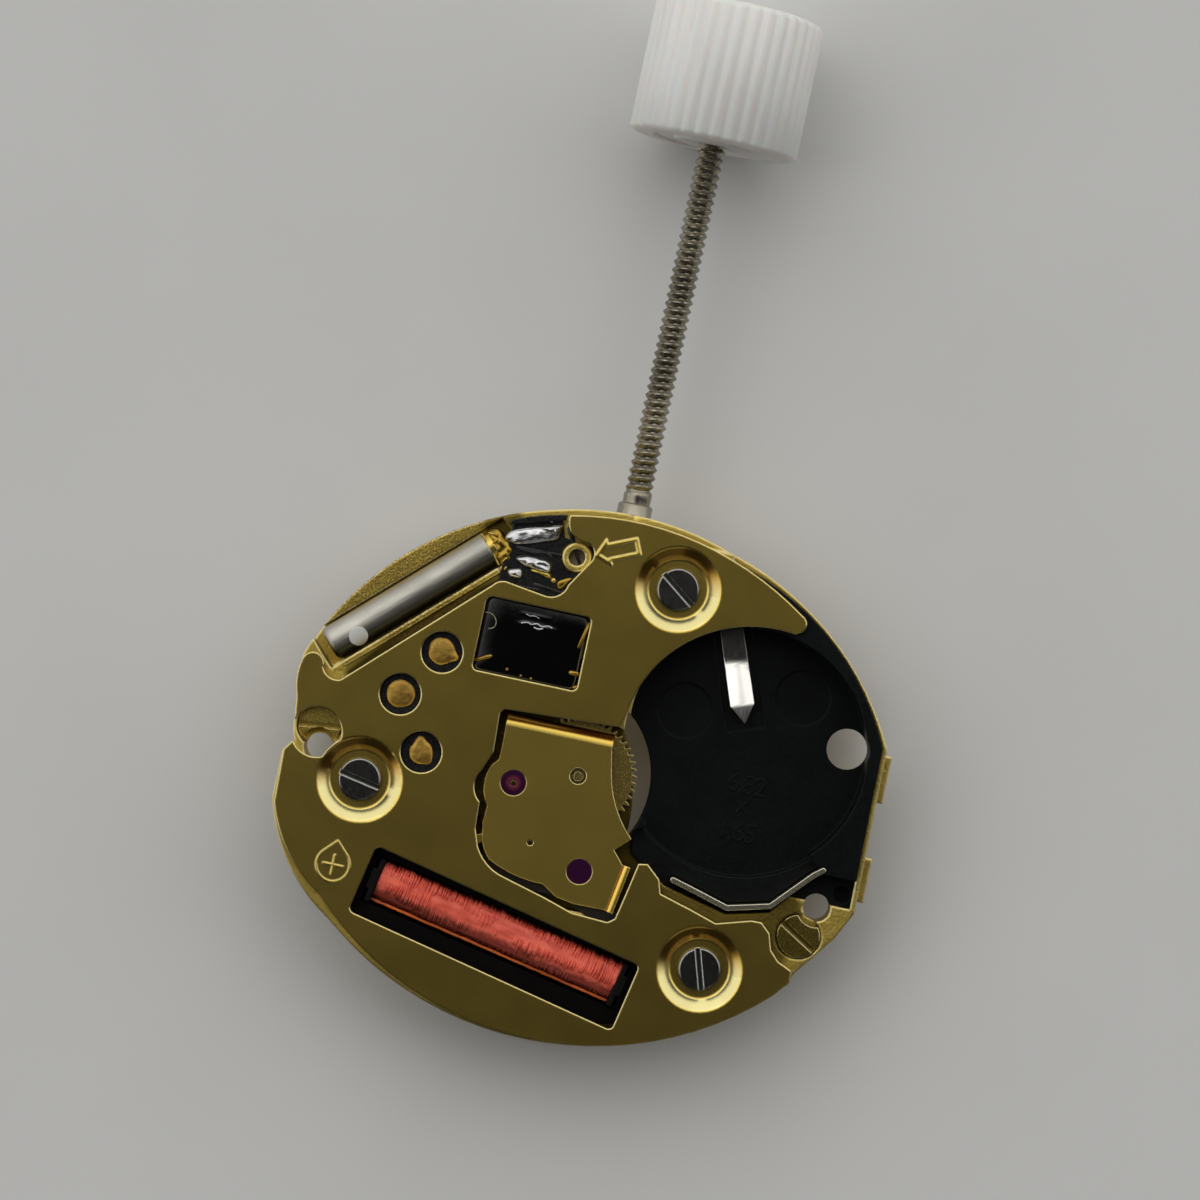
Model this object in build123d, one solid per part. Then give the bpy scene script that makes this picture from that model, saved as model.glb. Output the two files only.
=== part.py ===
from build123d import *
import math
import os

os.makedirs("parts", exist_ok=True)

# A small two-hand quartz watch movement, in millimetres.
# The origin is on the hand axis at the dial seat. X runs along the long axis, Y out along the
# winding stem, and Z from the dial side to the battery side.

# Overall sizes
movement_length = 17.0
movement_width = 15.3
movement_thickness = 1.95
overrun = 0.4
running_gap = 0.03
seat_gap = 0.04

# Heights of the stack, from the dial seat upwards
floor_thickness = 0.12
keeper_thickness = 0.12
dial_pocket_depth = 0.55
web_thickness = 0.25
land_height = 1.45
cover_thickness = 0.2
board_thickness = 0.1
bridge_thickness = 0.27
bridge_drop = 0.1

web_top = dial_pocket_depth + web_thickness
cover_bottom = movement_thickness - cover_thickness
bridge_top = cover_bottom - bridge_drop
bridge_bottom = bridge_top - bridge_thickness
board_top = land_height + board_thickness


def at(share):
    """Place of a point given as shares of the half length and the half width."""
    return (share[0] * movement_length / 2, share[1] * movement_width / 2)


def between(first, second):
    return math.dist(first, second)


def toward(first, second):
    """Angle in radians from one place to another."""
    return math.atan2(second[1] - first[1], second[0] - first[0])


def step_from(place, distance, angle):
    """The place reached by going a distance at an angle in radians."""
    return (place[0] + distance * math.cos(angle), place[1] + distance * math.sin(angle))


def outline(start, moves, shrink=1):
    """Closed face: a move of one point is a straight run, one of two points is an arc."""
    first = at((start[0] * shrink, start[1] * shrink))
    here = first
    edges = []
    for move in moves:
        stops = [at((point[0] * shrink, point[1] * shrink)) for point in move]
        if len(stops) == 1:
            edges.append(Line(here, stops[0]))
        else:
            edges.append(ThreePointArc(here, stops[0], stops[1]))
        here = stops[-1]
    if between(here, first) > 0:
        edges.append(Line(here, first))
    return make_face(Wire(edges))


def slab(face, low, high):
    """A face of any outline, raised between two heights."""
    flat = Pos(0, 0, low) * face
    return extrude(flat, amount=high - low, dir=(0, 0, 1))


def post(place, radius, low, high):
    """An upright cylinder between two heights."""
    upright = Cylinder(radius, high - low, align=(Align.CENTER, Align.CENTER, Align.MIN))
    return Pos(place[0], place[1], low) * upright


def ring(place, outer, inner, low, high):
    return post(place, outer, low, high) - post(place, inner, low - overrun, high + overrun)


def block(low_corner, high_corner, low, high):
    """An upright box between two plan corners and two heights."""
    wide = high_corner[0] - low_corner[0]
    deep = high_corner[1] - low_corner[1]
    body = Box(wide, deep, high - low, align=(Align.MIN, Align.MIN, Align.MIN))
    return Pos(low_corner[0], low_corner[1], low) * body


def bar(middle, length, width, angle, low, high):
    """An upright box centred on a place and turned about Z by an angle in radians."""
    body = Box(length, width, high - low, align=(Align.CENTER, Align.CENTER, Align.MIN))
    return Pos(middle[0], middle[1], low) * Rot(0, 0, math.degrees(angle)) * body


def rod_y(middle_z, radius, low_y, high_y):
    """A cylinder along Y on the stem's line, between two distances from the hand axis."""
    body = Cylinder(radius, high_y - low_y, align=(Align.CENTER, Align.CENTER, Align.MIN))
    return Pos(0, low_y, middle_z) * Rot(-90, 0, 0) * body


# Gears
addendum_share = 0.85
dedendum_share = 1.15
tooth_root_share = 0.29
tooth_pitch_share = 0.23
tooth_tip_share = 0.1


def gear(place, teeth, module, low, high, phase):
    """A toothed disc with one tooth centred at the phase angle, in radians."""
    pitch_radius = module * teeth / 2
    tip_radius = pitch_radius + addendum_share * module
    root_radius = pitch_radius - dedendum_share * module
    pitch_angle = 2 * math.pi / teeth
    points = []
    for tooth in range(teeth):
        middle = phase + tooth * pitch_angle
        profile = [
            (root_radius, -tooth_root_share),
            (pitch_radius, -tooth_pitch_share),
            (tip_radius, -tooth_tip_share),
            (tip_radius, tooth_tip_share),
            (pitch_radius, tooth_pitch_share),
            (root_radius, tooth_root_share),
        ]
        for radius, share in profile:
            points.append(step_from(place, radius, middle + share * pitch_angle))
    face = make_face(Polyline(*points, close=True))
    return slab(face, low, high)


def mesh_phase(driver, driver_teeth, driver_phase, driven, driven_teeth):
    """Phase that puts a gap of the driven gear on the tooth of the driver between them."""
    line = toward(driver, driven)
    pitches = (line - driver_phase) * driver_teeth / (2 * math.pi)
    return line + math.pi - (0.5 - pitches) * 2 * math.pi / driven_teeth


def mesh_module(first, second, first_teeth, second_teeth):
    """Module of two gears from the distance between their axes."""
    return 2 * between(first, second) / (first_teeth + second_teeth)


# Places of the axes
centre_axis = (0, 0)
third_axis = at((-0.208, -0.076))
intermediate_axis = at((-0.111, -0.281))
rotor_axis = at((0.071, -0.349))
minute_axis = at((-0.132, 0.149))

# Main plate outline, cut-outs and bosses
plate_start_share = (-0.99, -0.32)
plate_shares = [
    [(-0.99, -0.135)],
    [(-0.955, -0.095)],
    [(-0.972, -0.016), (-0.955, 0.066)],
    [(-0.985, 0.085)],
    [(-0.99, 0.235)],
    [(-0.66, 0.738), (-0.26, 0.955)],
    [(0.035, 0.996), (0.354, 0.931)],
    [(0.75, 0.695), (1.0, 0.336)],
    [(1.006, -0.29)],
    [(0.957, -0.4)],
    [(0.848, -0.559)],
    [(0.839, -0.6)],
    [(0.028, -1.003), (-0.72, -0.717)],
    [(-0.89, -0.547), (-0.99, -0.32)],
]
rim_inner_share = 0.92
stem_block_corners = ((-0.06, 0.425), (0.36, 0.93))
stem_shelf_corners = ((-0.245, 0.87), (-0.05, 0.93))
train_pocket_start_share = (-0.39, -0.28)
train_pocket_shares = [
    [(-0.43, -0.08)],
    [(-0.36, 0.17)],
    [(-0.24, 0.21)],
    [(0.0, 0.243), (0.155, 0.18)],
    [(0.3, 0.1)],
    [(0.3, -0.36)],
    [(0.24, -0.5)],
    [(-0.2, -0.5)],
]
dial_pocket_start_share = (-0.285, -0.04)
dial_pocket_shares = [
    [(-0.285, 0.335)],
    [(-0.12, 0.36)],
    [(-0.12, 0.48)],
    [(-0.34, 0.5)],
    [(-0.34, 0.86)],
    [(-0.05, 0.895)],
    [(0.05, 0.895)],
    [(0.09, 0.8)],
    [(0.115, 0.5)],
    [(0.115, 0.25)],
    [(0.165, 0.1)],
    [(0.11, -0.155)],
    [(-0.09, -0.185)],
]
keeper_start_share = (-0.355, -0.08)
keeper_shares = [
    [(-0.355, 0.44)],
    [(-0.42, 0.47)],
    [(-0.42, 0.85)],
    [(-0.05, 0.94)],
    [(0.1, 0.94)],
    [(0.195, 0.85)],
    [(0.195, 0.29)],
    [(0.195, 0.13)],
    [(0.205, 0.0), (0.14, -0.2)],
    [(-0.14, -0.23)],
]
crescent_middle_share = (-0.075, -0.013)
crescent_radius = 2.74
see_through_start_share = (0.12, 0.27)
see_through_shares = [
    [(0.36, 0.27)],
    [(0.36, -0.2)],
    [(0.2, -0.2)],
    [(0.19, 0.0), (0.12, 0.2)],
]
quartz_shelf_height = 1.15
ridge_width = 0.16
ridge_height = 1.62
release_place = at((-0.157, 0.797))
release_boss_radius = 0.41
release_hole_radius = 0.24
foot_places = [at((-0.876, -0.098)), at((0.878, -0.298))]
foot_hole_radius = 0.39
tab_corners = [((0.985, 0.13), (1.027, 0.31)), ((0.985, -0.25), (1.033, -0.08))]
tab_height = 0.6
keeper_screw_places = [at((-0.375, 0.68)), at((0.145, 0.6)), at((-0.315, -0.02))]

# Cell bay and its liner
cell_diameter = 6.8
cell_clearance = 0.115
liner_wall = 0.32
liner_floor = 0.15
liner_step_height = 1.1
liner_step_width = 0.13
bay_place = at((0.53, 0.22))
bay_radius = cell_diameter / 2 + cell_clearance
liner_bottom = floor_thickness
liner_floor_top = liner_bottom + liner_floor
liner_start_share = (0.354, 0.9)
liner_shares = [
    [(0.745, 0.685), (0.982, 0.336)],
    [(0.988, -0.278)],
    [(0.78, -0.278)],
    [(0.725, -0.352)],
    [(0.581, -0.392)],
    [(0.36, -0.335)],
    [(0.23, -0.245)],
    [(0.2, 0.02)],
    [(0.13, 0.25)],
    [(0.2, 0.52), (0.354, 0.66)],
]
liner_low_start_share = (0.2, -0.17)
liner_low_shares = [
    [(0.3, -0.1)],
    [(0.81, -0.1)],
    [(0.88, -0.17)],
    [(1.03, -0.17)],
    [(1.03, -0.45)],
    [(0.2, -0.45)],
]
bay_hole_place = at((0.874, 0.303))
bay_hole_radius = 0.59
recess_places = [at((0.31, 0.318)), at((0.692, 0.456))]
recess_radius = 0.8
recess_depth = 0.07
pin_recess_place = at((0.954, -0.232))
pin_recess_radius = 0.25
pin_recess_depth = 0.4
contact_root = at((0.404, 0.664))
contact_tip = at((0.516, 0.318))
contact_width = 0.7
contact_thickness = 0.08
contact_floor = 0.06
contact_slot_margin = 0.2
contact_lift = 0.3
contact_point_length = 0.45
strap_places = [
    at((0.385, -0.306)),
    at((0.434, -0.32)),
    at((0.581, -0.366)),
    at((0.723, -0.326)),
    at((0.844, -0.18)),
    at((0.872, -0.155)),
]
strap_thickness = 0.15
strap_drop = 0.12
strap_depth = 0.95

# Cover plate outline, its windows and its sunk screw seats
cover_start_share = (-0.98, 0.075)
cover_shares = [
    [(-0.987, 0.1), (-0.987, 0.214)],
    [(-0.955, 0.247), (-0.913, 0.199)],
    [(-0.89, 0.17), (-0.848, 0.166)],
    [(-0.415, 0.63)],
    [(-0.392, 0.65), (-0.36, 0.652)],
    [(-0.236, 0.632)],
    [(-0.19, 0.645), (-0.166, 0.69)],
    [(-0.109, 0.79)],
    [(-0.106, 0.835), (-0.15, 0.858)],
    [(-0.19, 0.88), (-0.208, 0.945)],
    [(0.02, 0.973), (0.357, 0.908)],
    [(0.475, 0.855), (0.625, 0.759)],
    [(0.645, 0.732), (0.638, 0.7)],
    [(0.614, 0.684)],
    [(0.3, 0.602), (0.113, 0.243)],
    [(0.094, 0.21)],
    [(-0.288, 0.187)],
    [(-0.3, 0.171)],
    [(-0.294, 0.02)],
    [(-0.32, -0.055)],
    [(-0.333, -0.12), (-0.305, -0.17)],
    [(-0.3, -0.27)],
    [(-0.28, -0.333)],
    [(-0.23, -0.397), (-0.17, -0.426)],
    [(-0.024, -0.469)],
    [(0.075, -0.503)],
    [(0.199, -0.51)],
    [(0.221, -0.491)],
    [(0.238, -0.399)],
    [(0.26, -0.273)],
    [(0.291, -0.267)],
    [(0.339, -0.314)],
    [(0.353, -0.365)],
    [(0.467, -0.4)],
    [(0.555, -0.43)],
    [(0.67, -0.392)],
    [(0.705, -0.391)],
    [(0.738, -0.424)],
    [(0.755, -0.484)],
    [(0.786, -0.52)],
    [(0.836, -0.545)],
    [(0.839, -0.588)],
    [(0.792, -0.651)],
    [(0.018, -0.998), (-0.766, -0.633)],
    [(-0.9, -0.5), (-0.98, -0.33)],
    [(-0.985, -0.13)],
    [(-0.96, -0.09)],
]
screw_hollow_radius = 0.72
left_hollow_place = at((-0.889, -0.042))
ic_window_corners = ((-0.424, 0.307), (-0.065, 0.588))
ic_window_corner_radius = 0.16
pad_places = [at((-0.533, 0.346)), at((-0.641, 0.161)), at((-0.532, -0.035))]
pad_hole_radius = 0.59
cover_screw_places = [at((0.198, 0.758)), at((-0.715, -0.182)), at((0.534, -0.61))]
dish_outer_radius = 1.25
dish_seat_radius = 0.82
dish_depth = 0.25
dish_bend_radius = 0.12
mark_height = 0.035
mark_width = 0.09
arrow_tail = at((0.041, 0.885))
arrow_tip = at((-0.098, 0.818))
arrow_head_length = 0.42
arrow_head_width = 0.8
arrow_shaft_width = 0.5
drop_place = at((-0.742, -0.514))
drop_radius = 0.5
drop_height = 0.72
plus_reach = 0.3
print_height = 0.016

# Screws
screw_head_radius = 0.62
screw_head_height = 0.24
screw_shank_radius = 0.3
screw_shank_length = 0.85
screw_slot_width = 0.15
screw_slot_depth = 0.12
cover_slot_angles = [-37, -11, -73]
keeper_screw_head_radius = 0.3
keeper_screw_head_height = 0.08
keeper_screw_shank_radius = 0.15
keeper_screw_length = 0.42
dial_screw_places = [at((-0.886, -0.016)), at((0.838, -0.417))]
dial_screw_radius = 0.62
dial_screw_height = 1.5
dial_screw_seat = 0.6
dial_screw_slot_width = 0.16
dial_screw_slot_depth = 0.22
dial_screw_collar_height = 0.3
dial_screw_waist_radius = 0.5
dial_slot_angles = [6, -31]
foot_clearance = 0.17

# Stem and keyless work
stem_height = 0.9
stem_guide_radius = 0.5
stem_collar_reach = 0.37
stem_neck_radius = 0.4
stem_thread_radius = 0.41
stem_thread_depth = 0.1
stem_thread_pitch = 0.245
stem_thread_count = 42
stem_groove_radius = 0.28
stem_groove_width = 0.6
stem_hub_radius = 0.44
stem_hub_length = 0.35
stem_square_width = 0.4
stem_square_length = 2.05
stem_tip_radius = 0.15
stem_tip_length = 1.05
stem_travel = 0.9
clutch_shift = 0.3
plate_edge_y = at((0, 0.99))[1]
stem_groove_y = at((0, 0.732))[1]
knob_radius = 2.45
knob_length = 4.0
knob_rib_count = 36
knob_rib_depth = 0.16
knob_face_y = 18.45
clutch_radius = 0.5
clutch_length = 0.9
clutch_groove_width = 0.26
clutch_core_radius = 0.35
clutch_tooth_count = 10
clutch_tooth_height = 0.15
clutch_tooth_inner = 0.31
clutch_end_gap = 0.15
yoke_thickness = 0.13
yoke_fork_thickness = 0.18
yoke_width = 0.55
yoke_reach = 2.2
setting_lever_thickness = 0.17
setting_lever_pin_radius = 0.2
setting_lever_arm_width = 0.5
setting_lever_pivot_radius = 0.25
setting_lever_pivot_x = at((-0.277, 0))[0]
spring_foot_share = (-0.3, 0.64)
spring_tip_share = (-0.1, 0.68)
spring_width = 0.1
spring_foot_radius = 0.28

# Motion work on the dial side
cannon_tooth_count = 10
minute_tooth_count = 30
minute_pinion_tooth_count = 8
hour_tooth_count = 32
setting_tooth_count = 20
dial_gear_thickness = 0.12
minute_wheel_thickness = 0.14
setting_wheel_thickness = 0.16
hour_pipe_radius = 0.6
hour_pipe_bore = 0.4
hour_pipe_reach = 0.75
hour_seat_length = 0.7
hour_collar_radius = 0.8
cannon_radius = 0.35
cannon_shoulder = 0.02
cannon_reach = 1.25
minute_seat_length = 0.45
cannon_tooth_height = 0.21
minute_post_radius = 0.13
setting_post_radius = 0.2

# Going train
centre_tooth_count = 50
third_pinion_tooth_count = 7
third_tooth_count = 40
intermediate_pinion_tooth_count = 10
intermediate_tooth_count = 42
rotor_pinion_tooth_count = 8
train_wheel_thickness = 0.1
centre_wheel_thickness = 0.12
level_gap = 0.06
level_step = level_gap + train_wheel_thickness
pinion_margin = 0.02
centre_arbor_radius = 0.2
centre_pivot_radius = 0.12
train_arbor_radius = 0.1
train_pivot_radius = 0.07
pivot_clearance = 0.02
magnet_radius = 0.45
magnet_height = 0.28
magnet_gap = 0.08
jewel_radius = 0.37
jewel_drop = 0.03
bush_radius = 0.24
train_window_clearance = 0.1

# Stepping motor
stator_height = 0.28
stator_ring_width = 0.42
stator_arm_width = 0.62
stator_arm_gap = 0.1
stator_root_share = 0.62
stator_notch_radius = 0.12
coil_place = at((-0.159, -0.637))
coil_angle = -11.4
coil_length = 7.4
coil_width = 1.2
coil_height = 1.14
coil_corner_radius = 0.42
coil_trough_margin = 0.12
coil_window_margin = 0.42
coil_window_upper_margins = (0.335, 0.18)
coil_window_lower_margins = (0.485, 0.64)
coil_trough_floor = 0.5
flange_thickness = 0.14
flange_rise = 0.04
core_width = 0.6
core_height = 0.42
core_tab_length = 0.75
core_tab_gap = 0.26
core_length = coil_length + 2 * (flange_thickness + core_tab_gap + core_tab_length)
core_tab_thickness = 0.15
core_tab_width = 0.95

# Circuit board and its parts
board_start_share = (-0.065, 0.275)
board_shares = [
    [(-0.065, 0.84)],
    [(-0.21, 0.86)],
    [(-0.23, 0.93)],
    [(-0.39, 0.872)],
    [(-0.4, 0.64)],
    [(-0.82, 0.19)],
    [(-0.82, 0.1)],
    [(-0.65, 0.05)],
    [(-0.585, -0.115)],
    [(-0.455, -0.115)],
    [(-0.42, 0.05)],
    [(-0.41, 0.24)],
    [(-0.28, 0.275)],
]
ic_length = 3.1
ic_width = 2.5
ic_height = 0.16
ic_round = 0.07
ic_place = at((-0.2495, 0.4475))
pad_radius = 0.38
pad_height = 0.03
lead_height = 0.025
lead_width = 0.13
lead_runs = [
    ((-0.418, 0.355), (-0.355, 0.369)),
    ((-0.071, 0.556), (-0.095, 0.459)),
    ((-0.107, 0.378), (-0.071, 0.37)),
]
solder_runs = [((-0.39, 0.835), (-0.235, 0.85)), ((-0.345, 0.745), (-0.24, 0.728))]
solder_radii = [0.32, 0.25]
solder_sink_share = 0.35
quartz_radius = 0.52
quartz_length = 5.35
quartz_dome = 0.2
quartz_left = at((-0.91, 0.282))
quartz_right = at((-0.451, 0.759))
quartz_height = 1.14
quartz_trough_gap = 0.06
header_length = 0.2
header_radius = 0.44
quartz_lead_radius = 0.09
quartz_lead_spread = 0.26
quartz_lead_length = 0.3


# Main plate: one milled brass piece that carries everything else
def dial_foot_cuts():
    holes = Part()
    for place in foot_places:
        holes += post(place, foot_hole_radius, -overrun, cover_bottom + overrun)
    return holes


def quartz_axis():
    middle = (
        (quartz_left[0] + quartz_right[0]) / 2,
        (quartz_left[1] + quartz_right[1]) / 2,
    )
    return middle, toward(quartz_left, quartz_right)


def quartz_trough():
    middle, angle = quartz_axis()
    reach = quartz_radius + quartz_trough_gap
    length = between(quartz_left, quartz_right) + header_length + quartz_lead_length + reach
    low = quartz_height - quartz_radius
    shift = step_from(middle, (header_length + quartz_lead_length) / 2, angle)
    trough = bar(shift, length, 2 * reach, angle, low, cover_bottom + overrun)
    outer = step_from(middle, 2 * reach, angle + math.pi / 2)
    outer_cut = bar(outer, length + 2 * reach, 2 * reach, angle, quartz_shelf_height,
                    cover_bottom + overrun)
    return trough + outer_cut


def quartz_ridge():
    middle, angle = quartz_axis()
    offset = quartz_radius + quartz_trough_gap + ridge_width / 2
    place = step_from(middle, offset, angle - math.pi / 2)
    return bar(place, quartz_length - ridge_width, ridge_width, angle, web_top, ridge_height)


def clutch_cavity():
    """Room for the clutch, the fork and the square of the stem, open to the dial side."""
    half = clutch_radius + 2 * running_gap
    inner_y = clutch_rest_y() - clutch_shift - 2 * clutch_tooth_height
    outer_y = stem_groove_y - stem_groove_width / 2
    room = block((-half, inner_y), (half, outer_y), floor_thickness, stem_height)
    return room + rod_y(stem_height, half, inner_y, outer_y)


def stem_bores():
    guide = rod_y(stem_height, stem_guide_radius + running_gap,
                  stem_groove_y - stem_groove_width / 2 - overrun, plate_edge_y + overrun)
    square_low = stem_tip_end() + stem_tip_length - running_gap
    tip = rod_y(stem_height, stem_tip_radius + running_gap, stem_tip_end() - running_gap,
                clutch_rest_y())
    square_reach = stem_square_width / math.sqrt(2) + running_gap
    return guide + tip + rod_y(stem_height, square_reach, square_low, clutch_rest_y())


def clutch_rest_y():
    """Distance from the hand axis to the toothed end of the clutch with the stem pushed in."""
    hub_y = stem_groove_y - stem_groove_width / 2 - stem_hub_length
    return hub_y - clutch_end_gap - clutch_length


def stem_tip_end():
    square_y = stem_groove_y - stem_groove_width / 2 - stem_hub_length - stem_square_length
    return square_y - stem_tip_length


def make_main_plate():
    base = slab(outline(plate_start_share, plate_shares), 0, land_height)
    rim_ring = outline(plate_start_share, plate_shares)
    rim_ring -= outline(plate_start_share, plate_shares, rim_inner_share)
    rim = slab(rim_ring, land_height, cover_bottom)
    rim_limit = block(at((-1.1, -1.1)), at((0.78, 0.17)), land_height, cover_bottom)
    plate = base + (rim & rim_limit)
    plate += block(at(stem_block_corners[0]), at(stem_block_corners[1]), land_height, cover_bottom)
    shelf = block(at(stem_shelf_corners[0]), at(stem_shelf_corners[1]), land_height, cover_bottom)
    plate += shelf & slab(outline(cover_start_share, cover_shares), land_height, cover_bottom)
    for corners in tab_corners:
        plate += block(at(corners[0]), at(corners[1]), 0, tab_height)
    plate += post(release_place, release_boss_radius, land_height, cover_bottom)

    plate -= slab(outline(liner_start_share, liner_shares), floor_thickness, cover_bottom + overrun)
    train_pocket = slab(outline(train_pocket_start_share, train_pocket_shares), web_top,
                        cover_bottom + overrun)
    plate -= train_pocket
    plate -= slab(outline(dial_pocket_start_share, dial_pocket_shares), -overrun, dial_pocket_depth)
    plate -= post(centre_axis, hour_tip_radius + 2 * running_gap, -overrun, dial_pocket_depth)
    plate -= slab(outline(keeper_start_share, keeper_shares), -overrun, keeper_thickness)
    plate -= quartz_trough()
    plate += quartz_ridge()
    plate -= clutch_cavity()
    plate -= stem_bores()
    for place in cover_screw_places:
        plate -= post(place, dish_outer_radius + seat_gap, cover_bottom - dish_depth,
                      cover_bottom + overrun)
    for place in cover_screw_places:
        plate -= post(place, screw_shank_radius + running_gap,
                      cover_bottom - dish_depth - screw_shank_length, cover_bottom)
    plate -= stator_seat()
    plate -= coil_trough()
    for place in dial_screw_places:
        plate -= post(place, dial_screw_radius + running_gap, dial_screw_seat,
                      cover_bottom + overrun)
    plate -= dial_foot_cuts()
    plate -= post(release_place, release_hole_radius, -overrun, cover_bottom + overrun)
    plate -= post(bay_hole_place, bay_hole_radius, -overrun, cover_bottom)
    plate -= slab(see_through_face(), -overrun, cover_bottom)
    plate -= post(centre_axis, centre_arbor_radius + pivot_clearance, -overrun, cover_bottom)
    for place in (third_axis, intermediate_axis, rotor_axis):
        plate -= post(place, train_pivot_radius + pivot_clearance, dial_pocket_depth - overrun,
                      web_top + overrun)
    for place in keeper_screw_places:
        plate -= post(place, keeper_screw_shank_radius, -overrun, keeper_screw_length)
    plate += post(minute_axis, minute_post_radius, keeper_thickness, dial_pocket_depth)
    plate += post(setting_axis, setting_post_radius, keeper_thickness, dial_pocket_depth)
    plate += post(setting_lever_pivot, setting_lever_pivot_radius, keeper_thickness,
                  dial_pocket_depth)
    return plate


def see_through_face():
    """The gap beside the centre wheel: inside the crescent arc, outside the motion work."""
    middle = at(crescent_middle_share)
    disc = Pos(middle[0], middle[1]) * Circle(crescent_radius)
    return disc & outline(see_through_start_share, see_through_shares)


def coil_turn():
    """The coil's slant in radians."""
    return math.radians(coil_angle)


def by_coil(along, across):
    """A place given along and across the coil's own axis."""
    return step_from(step_from(coil_place, along, coil_turn()), across, coil_turn() + math.pi / 2)


def stator_blank(low, high):
    """Both pole pieces: pads under the core's end tabs, arms to the rotor and a ring round it."""
    blank = post(rotor_axis, stator_ring_radius, low, high)
    arm_across = coil_width / 2 + flange_rise + stator_arm_gap + stator_arm_width / 2
    root = step_from(rotor_axis, stator_root_share * stator_ring_radius,
                     coil_turn() - math.pi / 2)
    for side in (1, -1):
        reach = side * (core_length - core_tab_length) / 2
        blank += bar(by_coil(reach, 0), core_tab_length, core_tab_width, coil_turn(), low, high)
        corner = by_coil(reach, arm_across)
        rise = by_coil(reach, arm_across / 2)
        blank += bar(rise, core_tab_length, arm_across, coil_turn(), low, high)
        blank += post(corner, core_tab_length / 2, low, high)
        middle = ((corner[0] + root[0]) / 2, (corner[1] + root[1]) / 2)
        blank += bar(middle, between(corner, root), stator_arm_width, toward(corner, root),
                     low, high)
    return blank


def stator_seat():
    return stator_blank(stator_bottom, cover_bottom + overrun)


def coil_trough():
    length = coil_length + 2 * flange_thickness + 2 * coil_trough_margin
    width = coil_width + 2 * flange_rise + 2 * coil_trough_margin
    trough = bar(coil_place, length, width, coil_turn(), coil_trough_floor, cover_bottom + overrun)
    tabs = bar(coil_place, core_length + 2 * seat_gap, core_tab_width + 2 * seat_gap, coil_turn(),
               core_bottom, cover_bottom + overrun)
    return trough + tabs


stator_bottom = web_top + level_gap + level_step
stator_top = stator_bottom + stator_height
stator_ring_radius = magnet_radius + magnet_gap + stator_ring_width
core_top = stator_top + core_tab_thickness
core_bottom = core_top - core_height
coil_middle_height = cover_bottom - coil_height / 2
setting_module = mesh_module(centre_axis, minute_axis, cannon_tooth_count, minute_tooth_count)
hour_tip_radius = setting_module * (hour_tooth_count / 2 + addendum_share)
setting_reach = setting_module * (minute_tooth_count + setting_tooth_count) / 2
setting_axis = (0, minute_axis[1] + math.sqrt(setting_reach ** 2 - minute_axis[0] ** 2))
setting_lever_pivot = (setting_lever_pivot_x, stem_groove_y + stem_travel / 2)


# Black moulded liner of the cell bay
def make_cell_liner():
    face = outline(liner_start_share, liner_shares)
    liner = slab(face, liner_bottom, cover_bottom)
    low_part = outline(liner_low_start_share, liner_low_shares)
    liner -= slab(low_part, liner_step_height, cover_bottom + overrun)
    liner -= post(bay_place, bay_radius, liner_floor_top, cover_bottom + overrun)
    step_radius = bay_radius + liner_step_width
    step = post(bay_place, step_radius, liner_floor_top, cover_bottom + overrun)
    liner -= step & slab(low_part, liner_floor_top, cover_bottom + overrun)
    crescent = at(crescent_middle_share)
    liner -= post(crescent, crescent_radius, -overrun, cover_bottom + overrun)
    liner -= post(bay_hole_place, bay_hole_radius, -overrun, cover_bottom + overrun)
    for place in recess_places:
        liner -= post(place, recess_radius, liner_floor_top - recess_depth, cover_bottom)
    liner -= post(pin_recess_place, pin_recess_radius, liner_step_height - pin_recess_depth,
                  cover_bottom)
    liner -= contact_slot()
    liner -= strap_solid(strap_thickness + 2 * seat_gap, strap_low, cover_bottom + overrun)
    liner -= dial_foot_cuts()
    for place in dial_screw_places:
        liner -= post(place, dial_screw_radius + running_gap, dial_screw_seat,
                      cover_bottom + overrun)
    return liner


def contact_slot():
    angle = toward(contact_root, contact_tip)
    length = between(contact_root, contact_tip) + 2 * contact_slot_margin
    middle = step_from(contact_root, length / 2 - contact_slot_margin, angle)
    width = contact_width + 2 * contact_slot_margin
    return bar(middle, length, width, angle, liner_bottom + contact_floor, cover_bottom)


strap_top = movement_thickness - strap_drop
strap_low = strap_top - strap_depth


def make_negative_contact():
    """Flat spring: it lies in the slot, rises towards the cell and ends in a point."""
    angle = toward(contact_root, contact_tip)
    reach = between(contact_root, contact_tip)
    low = liner_bottom + contact_floor
    half = contact_width / 2
    kink = reach - contact_point_length
    profile = [
        (-contact_slot_margin / 2, low),
        (reach / 3, low),
        (kink, low + contact_lift),
        (reach, low + contact_lift - contact_thickness),
    ]
    upper = [(along, height + contact_thickness) for along, height in reversed(profile)]
    side = make_face(Polyline(*(profile + upper), close=True))
    strip = extrude(Plane.XZ * side, amount=half, both=True)
    plan = [
        (-contact_slot_margin, -half),
        (kink, -half),
        (reach, 0),
        (kink, half),
        (-contact_slot_margin, half),
    ]
    point = slab(make_face(Polyline(*plan, close=True)), low - overrun, low + contact_lift + overrun)
    return Pos(contact_root[0], contact_root[1]) * Rot(0, 0, math.degrees(angle)) * (strip & point)


def strap_solid(thickness, low, high):
    """A strip standing on edge along the strap's places."""
    path = Polyline(*strap_places)
    face = make_face(offset(path, amount=thickness / 2))
    return slab(face, low, high)


def make_positive_strap():
    return strap_solid(strap_thickness, strap_low, strap_top)


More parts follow.
